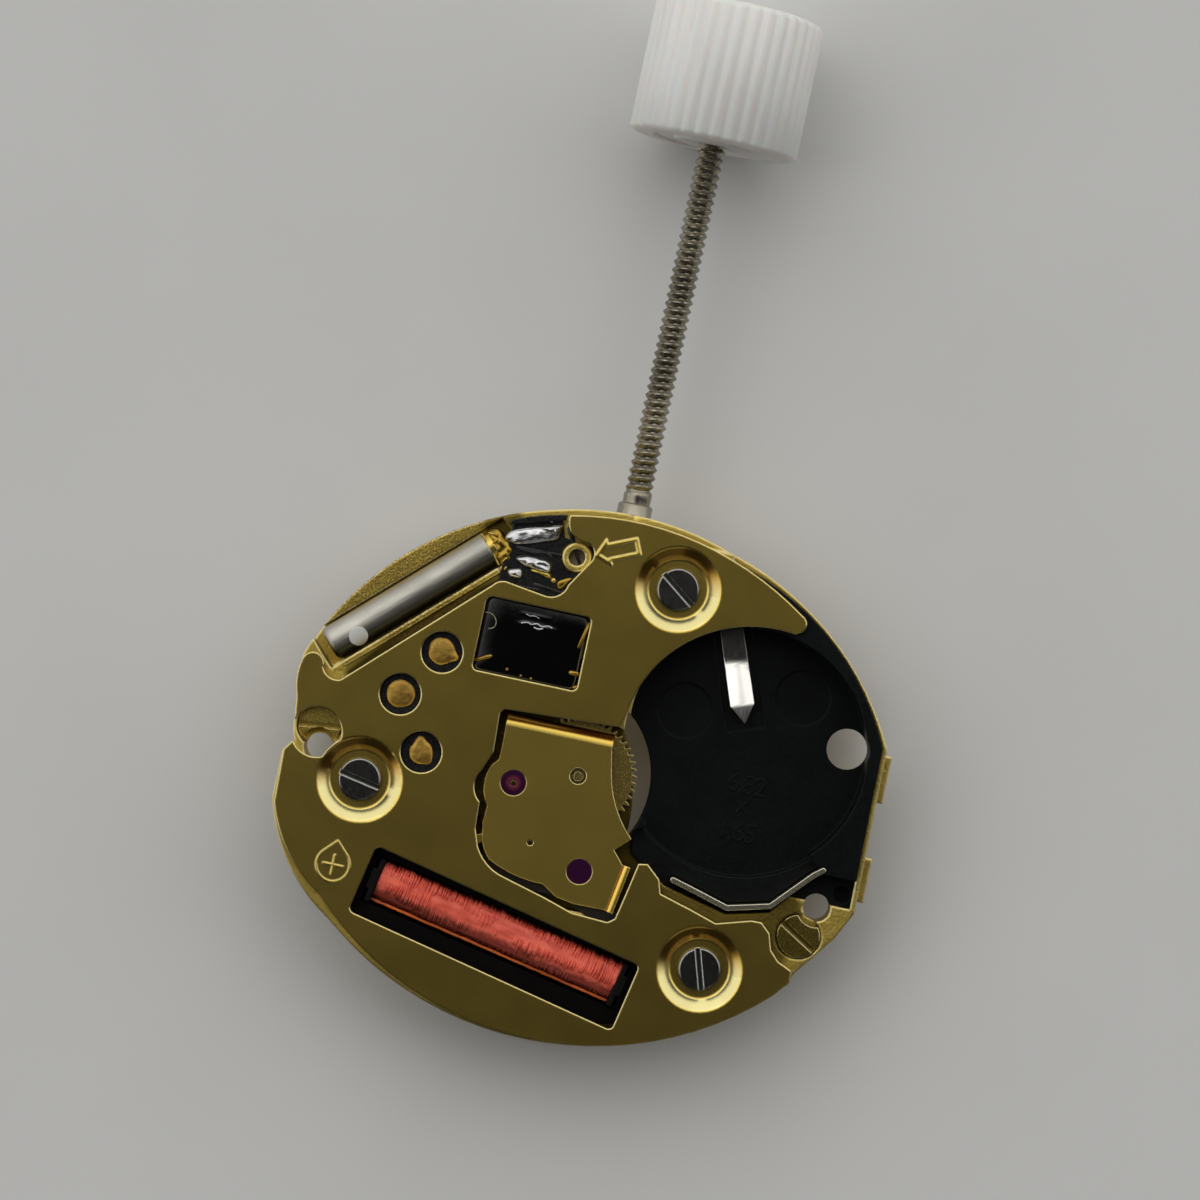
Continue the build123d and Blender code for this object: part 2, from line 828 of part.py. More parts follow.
# Cover plate: thin gilt sheet with windows and pressed dishes for its screws
def cover_face():
    face = outline(cover_start_share, cover_shares)
    window_low = at(ic_window_corners[0])
    window_high = at(ic_window_corners[1])
    window = RectangleRounded(window_high[0] - window_low[0], window_high[1] - window_low[1],
                              ic_window_corner_radius)
    middle = ((window_low[0] + window_high[0]) / 2, (window_low[1] + window_high[1]) / 2)
    face -= Pos(middle[0], middle[1]) * window
    reach = coil_length / 2 + coil_window_margin
    upper_left, upper_right = [coil_width / 2 + gap for gap in coil_window_upper_margins]
    lower_left, lower_right = [coil_width / 2 + gap for gap in coil_window_lower_margins]
    corners = [by_coil(-reach, upper_left), by_coil(reach, upper_right),
               by_coil(reach, -lower_right), by_coil(-reach, -lower_left)]
    coil_window = make_face(Polyline(*corners, close=True))
    face -= fillet(coil_window.vertices(), ic_window_corner_radius)
    face -= Pos(bay_place[0], bay_place[1]) * Circle(bay_radius)
    for place in pad_places:
        face -= Pos(place[0], place[1]) * Circle(pad_hole_radius)
    face -= Pos(left_hollow_place[0], left_hollow_place[1]) * Circle(screw_hollow_radius)
    face -= Pos(release_place[0], release_place[1]) * Circle(release_hole_radius)
    return face


def screw_dish(place):
    """The sheet bends down from the dish's rim, slopes evenly and bends flat at its seat."""
    high = movement_thickness
    seat = high - dish_depth
    hole = screw_shank_radius + running_gap
    run = dish_outer_radius - dish_seat_radius
    spare = 4 * dish_bend_radius - dish_depth
    slope = 2 * math.atan((run - math.sqrt(run ** 2 - dish_depth * spare)) / spare)
    bend_run = dish_bend_radius * math.sin(slope)
    bend_fall = dish_bend_radius * (1 - math.cos(slope))
    rim = (dish_outer_radius, high)
    foot = (dish_seat_radius, seat)
    slope_top = (dish_outer_radius - bend_run, high - bend_fall)
    slope_end = (dish_seat_radius + bend_run, seat + bend_fall)
    upper = [TangentArc(rim, slope_top, tangent=(-1, 0)), Line(slope_top, slope_end),
             TangentArc(foot, slope_end, tangent=(1, 0))]
    lower = [Pos(0, -cover_thickness) * edge for edge in upper]
    under = high - cover_thickness
    edges = upper + lower + [
        Line(foot, (hole, seat)),
        Line((hole, seat), (hole, seat - cover_thickness)),
        Line((hole, seat - cover_thickness), (dish_seat_radius, seat - cover_thickness)),
        Line((dish_outer_radius, under), rim),
    ]
    side = make_face(Wire(edges))
    return Pos(place[0], place[1]) * revolve(Plane.XZ * side, axis=Axis.Z)


def arrow_mark():
    """Raised outline of an arrow that points at the stem release."""
    angle = toward(arrow_tail, arrow_tip)
    reach = between(arrow_tail, arrow_tip)
    neck = reach - arrow_head_length
    shape = [
        (0, -arrow_shaft_width / 2),
        (neck, -arrow_shaft_width / 2),
        (neck, -arrow_head_width / 2),
        (reach, 0),
        (neck, arrow_head_width / 2),
        (neck, arrow_shaft_width / 2),
        (0, arrow_shaft_width / 2),
    ]
    outer = make_face(Polyline(*shape, close=True))
    inner = offset(outer, amount=-mark_width)
    return Pos(arrow_tail[0], arrow_tail[1]) * Rot(0, 0, math.degrees(angle)) * (outer - inner)


def drop_mark():
    """Fine raised outline of an oil drop with a plus inside."""
    side = math.acos(drop_radius / drop_height)
    left = (-drop_radius * math.sin(side), drop_radius * math.cos(side))
    right = (-left[0], left[1])
    line_width = mark_width / 2
    edges = [Line(left, (0, drop_height)), Line((0, drop_height), right),
             ThreePointArc(right, (0, -drop_radius), left)]
    outer = make_face(Wire(edges))
    mark = outer - offset(outer, amount=-line_width)
    mark += Rectangle(2 * plus_reach, line_width)
    mark += Rectangle(line_width, 2 * plus_reach)
    return Pos(drop_place[0], drop_place[1]) * mark


def make_cover_plate():
    plate = slab(cover_face(), cover_bottom, movement_thickness)
    for place in cover_screw_places:
        plate -= post(place, dish_outer_radius, cover_bottom - overrun,
                      movement_thickness + overrun)
    for place in cover_screw_places:
        plate += screw_dish(place)
    plate += slab(arrow_mark(), movement_thickness - mark_height, movement_thickness + mark_height)
    plate += slab(drop_mark(), movement_thickness - print_height, movement_thickness + print_height)
    return plate


def slotted_screw(place, head_radius, head_height, shank_radius, shank_length, head_top,
                  slot_width, slot_depth, slot_angle):
    """A pan-headed screw that hangs down from its head."""
    seat = head_top - head_height
    head = post(place, head_radius, seat, head_top)
    rim = head.edges().filter_by(GeomType.CIRCLE).sort_by(Axis.Z)[-1]
    head = chamfer(rim, slot_width / 3)
    screw = head + post(place, shank_radius, seat - shank_length, seat)
    slot = bar(place, 2 * head_radius + overrun, slot_width, math.radians(slot_angle),
               head_top - slot_depth, head_top + overrun)
    return screw - slot


def make_cover_screws():
    screws = []
    head_top = movement_thickness - dish_depth + screw_head_height
    for place, angle in zip(cover_screw_places, cover_slot_angles):
        screws.append(slotted_screw(place, screw_head_radius, screw_head_height,
                                    screw_shank_radius, screw_shank_length, head_top,
                                    screw_slot_width, screw_slot_depth, angle))
    return Compound(children=screws)


def make_keeper_screws():
    """Small screws of the keeper plate, their heads sunk flush with the dial seat."""
    screws = []
    for place in keeper_screw_places:
        head = post(place, keeper_screw_head_radius, 0, keeper_screw_head_height)
        shank = post(place, keeper_screw_shank_radius, 0, keeper_screw_length)
        slot = bar(place, 2 * keeper_screw_head_radius + overrun, screw_slot_width / 2, math.pi / 4,
                   -overrun, keeper_screw_head_height / 2)
        screws.append(head + shank - slot)
    return Compound(children=screws)


def dial_screw(place, foot, slot_angle):
    """Slotted screw whose cut side faces the dial foot until it is turned."""
    low = dial_screw_seat + running_gap
    top = dial_screw_height
    screw = post(place, dial_screw_radius, top - dial_screw_collar_height, top)
    screw += post(place, dial_screw_radius, low, low + dial_screw_collar_height)
    screw += post(place, dial_screw_waist_radius, low, top)
    screw -= post(foot, foot_hole_radius + foot_clearance, -overrun, top + overrun)
    screw -= bar(place, 2 * dial_screw_radius + overrun, dial_screw_slot_width,
                 math.radians(slot_angle), top - dial_screw_slot_depth, top + overrun)
    return screw


# Train bridge, its jewels and the centre bush
bridge_start_share = (-0.273, 0.125)
bridge_shares = [
    [(0.093, 0.125)],
    [(0.1, 0.08)],
    [(0.116, 0.0)],
    [(0.15, -0.09), (0.22, -0.19)],
    [(0.171, -0.244)],
    [(0.21, -0.293)],
    [(0.185, -0.47)],
    [(0.078, -0.472)],
    [(0.013, -0.461)],
    [(-0.04, -0.424)],
    [(-0.15, -0.41), (-0.235, -0.375)],
    [(-0.256, -0.345), (-0.274, -0.29)],
    [(-0.281, -0.247)],
    [(-0.278, -0.182)],
    [(-0.304, -0.094), (-0.292, -0.0285)],
    [(-0.271, 0.0)],
    [(-0.271, 0.071)],
]
bridge_bend_ends = [at((-0.273, 0.1498)), at((0.093, 0.1498))]
bridge_bend_width = 0.43
bridge_bend_drop = 0.42
bridge_bend_round = 0.37
bridge_side_bend_ends = [at((0.2195, -0.293)), at((0.1925, -0.475))]
bridge_side_bend_width = 0.3
bridge_side_bend_drop = 0.32
bridge_side_bend_round = 0.24
bridge_post_radius = 0.12
bridge_post_places = [at((-0.25, 0.14)), at((-0.302, -0.318))]
bridge_lug_start = at((-0.25, -0.29))
bridge_lug_width = 0.24
bridge_lug_height = 0.12
bridge_pad_place = at((0.165, -0.425))
bridge_pad_radius = 0.2


def rolled_edge(ends, width, drop, roundness):
    """A sheet's edge bent down along a line, rounded on its far side."""
    middle = ((ends[0][0] + ends[1][0]) / 2, (ends[0][1] + ends[1][1]) / 2)
    bend = Box(between(*ends), width, drop, align=(Align.CENTER, Align.CENTER, Align.MAX))
    outer_edge = bend.edges().filter_by(Axis.X).group_by(Axis.Z)[-1].sort_by(Axis.Y)[-1]
    bend = fillet(outer_edge, roundness)
    turn = math.degrees(toward(*ends))
    return Pos(middle[0], middle[1], bridge_top) * Rot(0, 0, turn) * bend


def make_train_bridge():
    bridge = slab(outline(bridge_start_share, bridge_shares), bridge_bottom, bridge_top)
    bridge += rolled_edge(bridge_bend_ends, bridge_bend_width, bridge_bend_drop,
                          bridge_bend_round)
    bridge += rolled_edge(bridge_side_bend_ends[::-1], bridge_side_bend_width,
                          bridge_side_bend_drop, bridge_side_bend_round)
    first, last = bridge_post_places
    middle = ((bridge_lug_start[0] + last[0]) / 2, (bridge_lug_start[1] + last[1]) / 2)
    lug_length = between(bridge_lug_start, last)
    bridge += bar(middle, lug_length, bridge_lug_width, toward(bridge_lug_start, last),
                  bridge_bottom, bridge_bottom + bridge_lug_height)
    bridge += post(last, bridge_lug_width / 2, bridge_bottom, bridge_bottom + bridge_lug_height)
    for place in bridge_post_places:
        bridge += post(place, bridge_post_radius, web_top, bridge_bottom)
    bridge += post(bridge_pad_place, bridge_pad_radius, stator_top, bridge_bottom)
    for place in (third_axis, rotor_axis):
        bridge -= post(place, jewel_radius, bridge_bottom - overrun, bridge_top + overrun)
    bridge -= post(centre_axis, bush_radius, bridge_bottom - overrun, bridge_top + overrun)
    bridge -= post(intermediate_axis, train_pivot_radius + pivot_clearance,
                   bridge_bottom - overrun, bridge_top + overrun)
    return bridge


def make_train_jewels():
    """Two pressed-in jewels: the third wheel's is bored through, the rotor's is blind."""
    top = bridge_top - jewel_drop
    hole = train_pivot_radius + pivot_clearance
    third = ring(third_axis, jewel_radius, hole, bridge_bottom, top)
    rotor = post(rotor_axis, jewel_radius, bridge_bottom, top)
    rotor -= post(rotor_axis, hole, bridge_bottom - overrun, bridge_top - bridge_thickness / 3)
    return Compound(children=[third, rotor])


def make_centre_bush():
    return ring(centre_axis, bush_radius, centre_pivot_radius + pivot_clearance, bridge_bottom,
                bridge_top)


# Going train
level_a = web_top + level_gap
level_b = level_a + level_step
level_c = level_b + level_step + pinion_margin
rotor_module = mesh_module(rotor_axis, intermediate_axis,
                           rotor_pinion_tooth_count, intermediate_tooth_count)
second_module = mesh_module(intermediate_axis, third_axis,
                            intermediate_pinion_tooth_count, third_tooth_count)
centre_module = mesh_module(third_axis, centre_axis, third_pinion_tooth_count, centre_tooth_count)
rotor_phase = mesh_phase(intermediate_axis, intermediate_tooth_count, 0,
                         rotor_axis, rotor_pinion_tooth_count)
third_phase = mesh_phase(intermediate_axis, intermediate_pinion_tooth_count, 0,
                         third_axis, third_tooth_count)
centre_phase = mesh_phase(third_axis, third_pinion_tooth_count, 0, centre_axis, centre_tooth_count)
minute_phase = mesh_phase(centre_axis, cannon_tooth_count, 0, minute_axis, minute_tooth_count)
hour_phase = mesh_phase(minute_axis, minute_pinion_tooth_count, 0, centre_axis, hour_tooth_count)
setting_phase = mesh_phase(minute_axis, minute_tooth_count, minute_phase,
                           setting_axis, setting_tooth_count)


def train_arbor(place, low, high):
    """Plain arbor with a finer pivot at each end."""
    middle = post(place, train_arbor_radius, level_a, level_c + train_wheel_thickness)
    return middle + post(place, train_pivot_radius, low, high)


def make_rotor_magnet():
    low = stator_bottom
    return ring(rotor_axis, magnet_radius, train_arbor_radius, low, low + magnet_height)


def make_rotor_pinion():
    pinion = gear(rotor_axis, rotor_pinion_tooth_count, rotor_module, level_a - pinion_margin,
                  level_a + train_wheel_thickness + pinion_margin, rotor_phase)
    arbor = post(rotor_axis, train_arbor_radius, level_a, stator_bottom + magnet_height)
    pivot = post(rotor_axis, train_pivot_radius, dial_pocket_depth + level_gap,
                 bridge_top - bridge_thickness / 2)
    return pinion + arbor + pivot


def make_intermediate_wheel():
    wheel = gear(intermediate_axis, intermediate_tooth_count, rotor_module, level_a,
                 level_a + train_wheel_thickness, 0)
    wheel += gear(intermediate_axis, intermediate_pinion_tooth_count, second_module,
                  level_c - pinion_margin, level_c + train_wheel_thickness + pinion_margin, 0)
    return wheel + train_arbor(intermediate_axis, dial_pocket_depth + level_gap,
                               bridge_top - pinion_margin)


def make_third_wheel():
    wheel = gear(third_axis, third_tooth_count, second_module, level_c,
                 level_c + train_wheel_thickness, third_phase)
    wheel += gear(third_axis, third_pinion_tooth_count, centre_module, level_b - pinion_margin,
                  level_b + centre_wheel_thickness + pinion_margin, 0)
    return wheel + train_arbor(third_axis, dial_pocket_depth + level_gap,
                               bridge_top - jewel_drop + pinion_margin)


def make_centre_wheel():
    wheel = gear(centre_axis, centre_tooth_count, centre_module, level_b,
                 level_b + centre_wheel_thickness, centre_phase)
    wheel += post(centre_axis, centre_arbor_radius, -cannon_reach,
                  bridge_bottom - running_gap)
    return wheel + post(centre_axis, centre_pivot_radius, bridge_bottom - overrun,
                        bridge_top - pinion_margin)


# Motion work
minute_low = dial_pocket_depth - seat_gap - running_gap - minute_wheel_thickness
hour_low = keeper_thickness + running_gap
cannon_low = hour_low + dial_gear_thickness + seat_gap


def make_cannon_pinion():
    pinion = gear(centre_axis, cannon_tooth_count, setting_module, cannon_low,
                  cannon_low + cannon_tooth_height, 0)
    pinion += post(centre_axis, cannon_radius, -cannon_reach, cannon_low)
    pinion += post(centre_axis, cannon_radius + cannon_shoulder,
                   minute_seat_length - cannon_reach, cannon_low + cannon_tooth_height)
    return pinion - post(centre_axis, centre_arbor_radius, -cannon_reach - overrun,
                         dial_pocket_depth + overrun)


def make_hour_wheel():
    wheel = gear(centre_axis, hour_tooth_count, setting_module, hour_low,
                 hour_low + dial_gear_thickness, hour_phase)
    wheel += post(centre_axis, hour_pipe_radius, -hour_pipe_reach, hour_low)
    wheel += post(centre_axis, hour_collar_radius,
                  hour_seat_length - hour_pipe_reach, hour_low)
    return wheel - post(centre_axis, hour_pipe_bore, -hour_pipe_reach - overrun,
                        hour_low + dial_gear_thickness + overrun)


def make_minute_wheel():
    wheel = gear(minute_axis, minute_tooth_count, setting_module, minute_low,
                 minute_low + minute_wheel_thickness, minute_phase)
    wheel += gear(minute_axis, minute_pinion_tooth_count, setting_module, hour_low, minute_low, 0)
    return wheel - post(minute_axis, minute_post_radius + running_gap, -overrun,
                        dial_pocket_depth + overrun)


def make_setting_wheel():
    wheel = gear(setting_axis, setting_tooth_count, setting_module, minute_low,
                 minute_low + setting_wheel_thickness, setting_phase)
    wheel += post(setting_axis, 2 * setting_post_radius, hour_low, minute_low)
    return wheel - post(setting_axis, setting_post_radius + running_gap, -overrun,
                        dial_pocket_depth + overrun)


# Keyless work
def make_stem():
    """Turned steel stem: pilot, square, hub, groove, guide, collar and threaded end."""
    hub_y = stem_groove_y - stem_groove_width / 2 - stem_hub_length
    square_y = hub_y - stem_square_length
    groove_low = stem_groove_y - stem_groove_width / 2
    groove_high = stem_groove_y + stem_groove_width / 2
    collar_end = plate_edge_y + stem_collar_reach
    stem = rod_y(stem_height, stem_tip_radius, square_y - stem_tip_length, square_y)
    square = Box(stem_square_width, stem_square_length, stem_square_width,
                 align=(Align.CENTER, Align.MIN, Align.CENTER))
    stem += Pos(0, square_y, stem_height) * square
    stem += rod_y(stem_height, stem_hub_radius, hub_y, groove_low)
    stem += rod_y(stem_height, stem_groove_radius, groove_low, groove_high)
    stem += rod_y(stem_height, stem_guide_radius, groove_high, collar_end)
    return stem + threaded_end(collar_end)


def threaded_end(low_y):
    """The thread as rings of the real pitch on a plain core, revolved in one go."""
    neck_end = knob_face_y - stem_thread_count * stem_thread_pitch
    core = stem_thread_radius - stem_thread_depth
    points = [(0, low_y), (stem_neck_radius, low_y), (stem_neck_radius, neck_end)]
    for turn in range(stem_thread_count):
        root_y = neck_end + turn * stem_thread_pitch
        points.append((core, root_y))
        points.append((stem_thread_radius, root_y + stem_thread_pitch / 2))
    end_y = knob_face_y + knob_length / 2
    points += [(core, knob_face_y), (core, end_y), (0, end_y)]
    side = make_face(Polyline(*points, close=True))
    return Pos(0, 0, stem_height) * revolve(side, axis=Axis.Y)


def make_winding_knob():
    """Ribbed plastic knob screwed onto the stem for handling the bare movement."""
    points = []
    steps = 2 * knob_rib_count
    for step in range(steps):
        radius = knob_radius
        if step % 2:
            radius = knob_radius - knob_rib_depth
        points.append(step_from((0, 0), radius, 2 * math.pi * step / steps))
    face = make_face(Polyline(*points, close=True))
    knob = extrude(face, amount=knob_length, dir=(0, 0, 1))
    bore = Cylinder(stem_thread_radius - stem_thread_depth, knob_length / 2,
                    align=(Align.CENTER, Align.CENTER, Align.MIN))
    return Pos(0, knob_face_y, stem_height) * Rot(-90, 0, 0) * (knob - bore)


def make_clutch():
    """Sliding clutch: square bore, yoke groove and face teeth towards the setting wheel."""
    low = clutch_rest_y()
    high = low + clutch_length
    groove_low = high - clutch_groove_width * 2
    body = rod_y(stem_height, clutch_radius, low + clutch_tooth_height, high)
    groove = rod_y(stem_height, clutch_radius + overrun, groove_low,
                   groove_low + clutch_groove_width)
    body -= groove - rod_y(stem_height, clutch_core_radius, groove_low,
                           groove_low + clutch_groove_width)
    teeth = rod_y(stem_height, clutch_radius, low, low + clutch_tooth_height)
    teeth -= rod_y(stem_height, clutch_tooth_inner, low - overrun, low + clutch_tooth_height)
    pitch = 360 / clutch_tooth_count
    mean_radius = (clutch_radius + clutch_tooth_inner) / 2
    gap_width = math.pi * mean_radius / clutch_tooth_count
    for tooth in range(clutch_tooth_count):
        gap = Box(gap_width, clutch_tooth_height + overrun, clutch_radius,
                  align=(Align.CENTER, Align.MAX, Align.MIN))
        placed = Pos(0, 0, clutch_tooth_inner / 2) * gap
        turned = Rot(0, 180 + tooth * pitch, 0) * placed
        teeth -= Pos(0, low + clutch_tooth_height, stem_height) * turned
    square = stem_square_width + running_gap
    bore = Box(square, clutch_length + 2 * overrun, square,
               align=(Align.CENTER, Align.MIN, Align.CENTER))
    return body + teeth - Pos(0, low - overrun, stem_height) * bore


def make_yoke():
    """Sliding fork plate that shifts the clutch."""
    groove_low = clutch_rest_y() + clutch_length - clutch_groove_width * 2
    fork_y = groove_low + clutch_groove_width / 2
    half = clutch_radius
    low = hour_low
    plate = block((-yoke_reach, fork_y - yoke_width / 2), (half, fork_y + yoke_width / 2), low,
                  low + yoke_thickness)
    plate += block((-half, fork_y - yoke_fork_thickness / 2), (half, fork_y + yoke_fork_thickness / 2),
                   low, stem_height)
    return plate - rod_y(stem_height, clutch_core_radius + running_gap, fork_y - yoke_width,
                         fork_y + yoke_width)


def make_setting_lever():
    """Lever with a pin in the stem's groove; pressing its disc frees the stem."""
    pin_place = (0, stem_groove_y)
    low = hour_low
    high = low + setting_lever_thickness
    angle = toward(setting_lever_pivot, pin_place)
    length = between(setting_lever_pivot, pin_place)
    middle = step_from(setting_lever_pivot, length / 2, angle)
    lever = bar(middle, length, setting_lever_arm_width, angle, low, high)
    lever += post(setting_lever_pivot, 2 * setting_lever_pivot_radius, low, high)
    lever += post(pin_place, setting_lever_arm_width / 2, low, high)
    lever += post(pin_place, setting_lever_pin_radius, low,
                  stem_height - stem_groove_radius - running_gap)
    lever += post(release_place, setting_lever_arm_width / 2, low, high + seat_gap)
    return lever - post(setting_lever_pivot, setting_lever_pivot_radius + running_gap, -overrun,
                        dial_pocket_depth + overrun)


def make_lever_spring():
    """Flat spring that bears on the setting lever, on its own post in the dial pocket."""
    low = hour_low
    high = low + setting_lever_thickness
    foot = at(spring_foot_share)
    tip = at(spring_tip_share)
    middle = ((foot[0] + tip[0]) / 2, (foot[1] + tip[1]) / 2)
    spring = bar(middle, between(foot, tip), spring_width, toward(foot, tip), low, high)
    spring += post(foot, spring_foot_radius, low, high)
    spring += post(tip, spring_width, low, high)
    return spring + post(foot, spring_foot_radius / 2, high, dial_pocket_depth)


def make_keeper_plate():
    plate = slab(outline(keeper_start_share, keeper_shares), 0, keeper_thickness)
    plate -= post(centre_axis, hour_collar_radius + 2 * running_gap, -overrun,
                  keeper_thickness + overrun)
    for place in keeper_screw_places:
        plate -= post(place, keeper_screw_shank_radius, -overrun, keeper_thickness + overrun)
        plate -= post(place, keeper_screw_head_radius + seat_gap, -overrun,
                      keeper_screw_head_height)
    return plate - slab(see_through_face(), -overrun, keeper_thickness + overrun)


# Stepping motor
def make_stator():
    plate = stator_blank(stator_bottom, stator_top)
    plate -= post(rotor_axis, magnet_radius + magnet_gap, stator_bottom - overrun,
                  stator_top + overrun)
    for side in (math.pi / 3, -2 * math.pi / 3):
        notch = step_from(rotor_axis, stator_ring_radius, side)
        plate -= post(notch, stator_notch_radius, stator_bottom - overrun, stator_top + overrun)
    return plate


def make_coil_core():
    inner_length = core_length - 2 * core_tab_length
    core = bar(coil_place, inner_length, core_width, coil_turn(), core_bottom, core_top)
    for side in (1, -1):
        reach = side * (core_length - core_tab_length) / 2
        tab_place = step_from(coil_place, reach, coil_turn())
        core += bar(tab_place, core_tab_length, core_tab_width, coil_turn(), stator_top, core_top)
    return core


def make_coil_bobbin():
    """Thin tube round the core with a flange at each end."""
    high = cover_bottom - seat_gap
    length = coil_length + 2 * flange_thickness
    bobbin = Part()
    for side in (1, -1):
        reach = side * (coil_length + flange_thickness) / 2
        place = step_from(coil_place, reach, coil_turn())
        bobbin += bar(place, flange_thickness, coil_width + 2 * flange_rise, coil_turn(),
                      coil_trough_floor, high)
    bobbin += bar(coil_place, length, core_width + 2 * seat_gap, coil_turn(),
                  core_bottom - seat_gap, core_top + seat_gap)
    return bobbin - bar(coil_place, length + overrun, core_width, coil_turn(), core_bottom, core_top)


def make_coil_winding():
    section = RectangleRounded(coil_width, coil_height - seat_gap, coil_corner_radius)
    wound = extrude(Plane.YZ * section, amount=coil_length / 2, both=True)
    middle = coil_middle_height - seat_gap / 2
    wound = Pos(coil_place[0], coil_place[1], middle) * Rot(0, 0, math.degrees(coil_turn())) * wound
    return wound - bar(coil_place, coil_length + overrun, core_width + 2 * seat_gap, coil_turn(),
                       core_bottom - seat_gap, core_top + seat_gap)


# Circuit
def make_circuit_board():
    board = slab(outline(board_start_share, board_shares), land_height, board_top)
    return board - post(release_place, release_boss_radius + seat_gap, land_height - overrun,
                        board_top + overrun)


def make_ic_cap():
    cap = Box(ic_length, ic_width, ic_height, align=(Align.CENTER, Align.CENTER, Align.MIN))
    top = cap.faces().sort_by(Axis.Z)[-1]
    cap = fillet(top.edges(), ic_round)
    return Pos(ic_place[0], ic_place[1], board_top) * cap


def make_test_pads():
    return Compound(children=[post(place, pad_radius, board_top, board_top + pad_height)
                              for place in pad_places])


def make_solder_joints():
    """Two long pillows of solder where the crystal's leads meet the board."""
    joints = []
    for (start, end), radius in zip(solder_runs, solder_radii):
        first = at(start)
        last = at(end)
        middle = ((first[0] + last[0]) / 2, (first[1] + last[1]) / 2)
        angle = toward(first, last)
        length = between(first, last)
        pillow = Cylinder(radius, length - radius)
        pillow = Rot(0, 90, 0) * pillow
        for side in (1, -1):
            pillow += Pos(side * (length - radius) / 2, 0, 0) * Sphere(radius)
        height = board_top - solder_sink_share * radius
        pillow = Pos(middle[0], middle[1], height) * Rot(0, 0, math.degrees(angle)) * pillow
        joints.append(pillow & slab(outline(board_start_share, board_shares), board_top, cover_bottom))
    return Compound(children=joints)


def make_quartz_can():
    """Drawn metal can with a domed end, lying in its trough."""
    middle, angle = quartz_axis()
    length = between(quartz_left, quartz_right)
    can = Cylinder(quartz_radius, length, align=(Align.CENTER, Align.CENTER, Align.MIN))
    far = can.edges().filter_by(GeomType.CIRCLE).sort_by(Axis.Z)[0]
    can = fillet(far, quartz_dome)
    return Pos(quartz_left[0], quartz_left[1], quartz_height) * Rot(0, 0, math.degrees(angle)) * (
        Rot(0, 90, 0) * can)


def make_quartz_header():
    """Glass-and-metal end of the crystal with its two short leads."""
    middle, angle = quartz_axis()
    header = Cylinder(header_radius, header_length, align=(Align.CENTER, Align.CENTER, Align.MIN))
    for side in (1, -1):
        lead = Cylinder(quartz_lead_radius, quartz_lead_length,
                        align=(Align.CENTER, Align.CENTER, Align.MIN))
        header += Pos(0, side * quartz_lead_spread, header_length) * lead
    turned = Rot(0, 0, math.degrees(angle)) * (Rot(0, 90, 0) * header)
    return Pos(quartz_right[0], quartz_right[1], quartz_height) * turned


nodes = {
    "main_plate": make_main_plate(),
    "cell_liner": make_cell_liner(),
    "negative_contact": make_negative_contact(),
    "positive_strap": make_positive_strap(),
    "cover_plate": make_cover_plate(),
    "cover_screws": make_cover_screws(),
    "keeper_plate": make_keeper_plate(),
    "keeper_screws": make_keeper_screws(),
    "dial_screw_left": dial_screw(dial_screw_places[0], foot_places[0], dial_slot_angles[0]),
    "dial_screw_right": dial_screw(dial_screw_places[1], foot_places[1], dial_slot_angles[1]),
    "train_bridge": make_train_bridge(),
    "train_jewels": make_train_jewels(),
    "centre_bush": make_centre_bush(),
    "rotor_magnet": make_rotor_magnet(),
    "rotor_pinion": make_rotor_pinion(),
    "intermediate_wheel": make_intermediate_wheel(),
    "third_wheel": make_third_wheel(),
    "centre_wheel": make_centre_wheel(),
    "cannon_pinion": make_cannon_pinion(),
    "hour_wheel": make_hour_wheel(),
    "minute_wheel": make_minute_wheel(),
    "setting_wheel": make_setting_wheel(),
    "stem": make_stem(),
    "winding_knob": make_winding_knob(),
    "clutch": make_clutch(),
    "yoke": make_yoke(),
    "setting_lever": make_setting_lever(),
    "lever_spring": make_lever_spring(),
    "stator": make_stator(),
    "coil_core": make_coil_core(),
    "coil_bobbin": make_coil_bobbin(),
    "coil_winding": make_coil_winding(),
    "circuit_board": make_circuit_board(),
    "ic_cap": make_ic_cap(),
    "test_pads": make_test_pads(),
    "solder_joints": make_solder_joints(),
    "quartz_can": make_quartz_can(),
    "quartz_header": make_quartz_header(),
}

for name, shape in nodes.items():
    export_step(shape, f"parts/{name}.step")
print("written", len(nodes), "sub-parts")
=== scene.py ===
"""Finished look of a small gilt quartz watch movement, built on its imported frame.

Run as a script: main() registers the classes and calls the operators in order. Lengths in the
functions are in millimetres until a mesh is made, which is in metres.
"""

import math

import bmesh
import bpy
from bpy.props import FloatProperty, FloatVectorProperty, IntProperty, PointerProperty
from mathutils import Matrix, Vector, noise


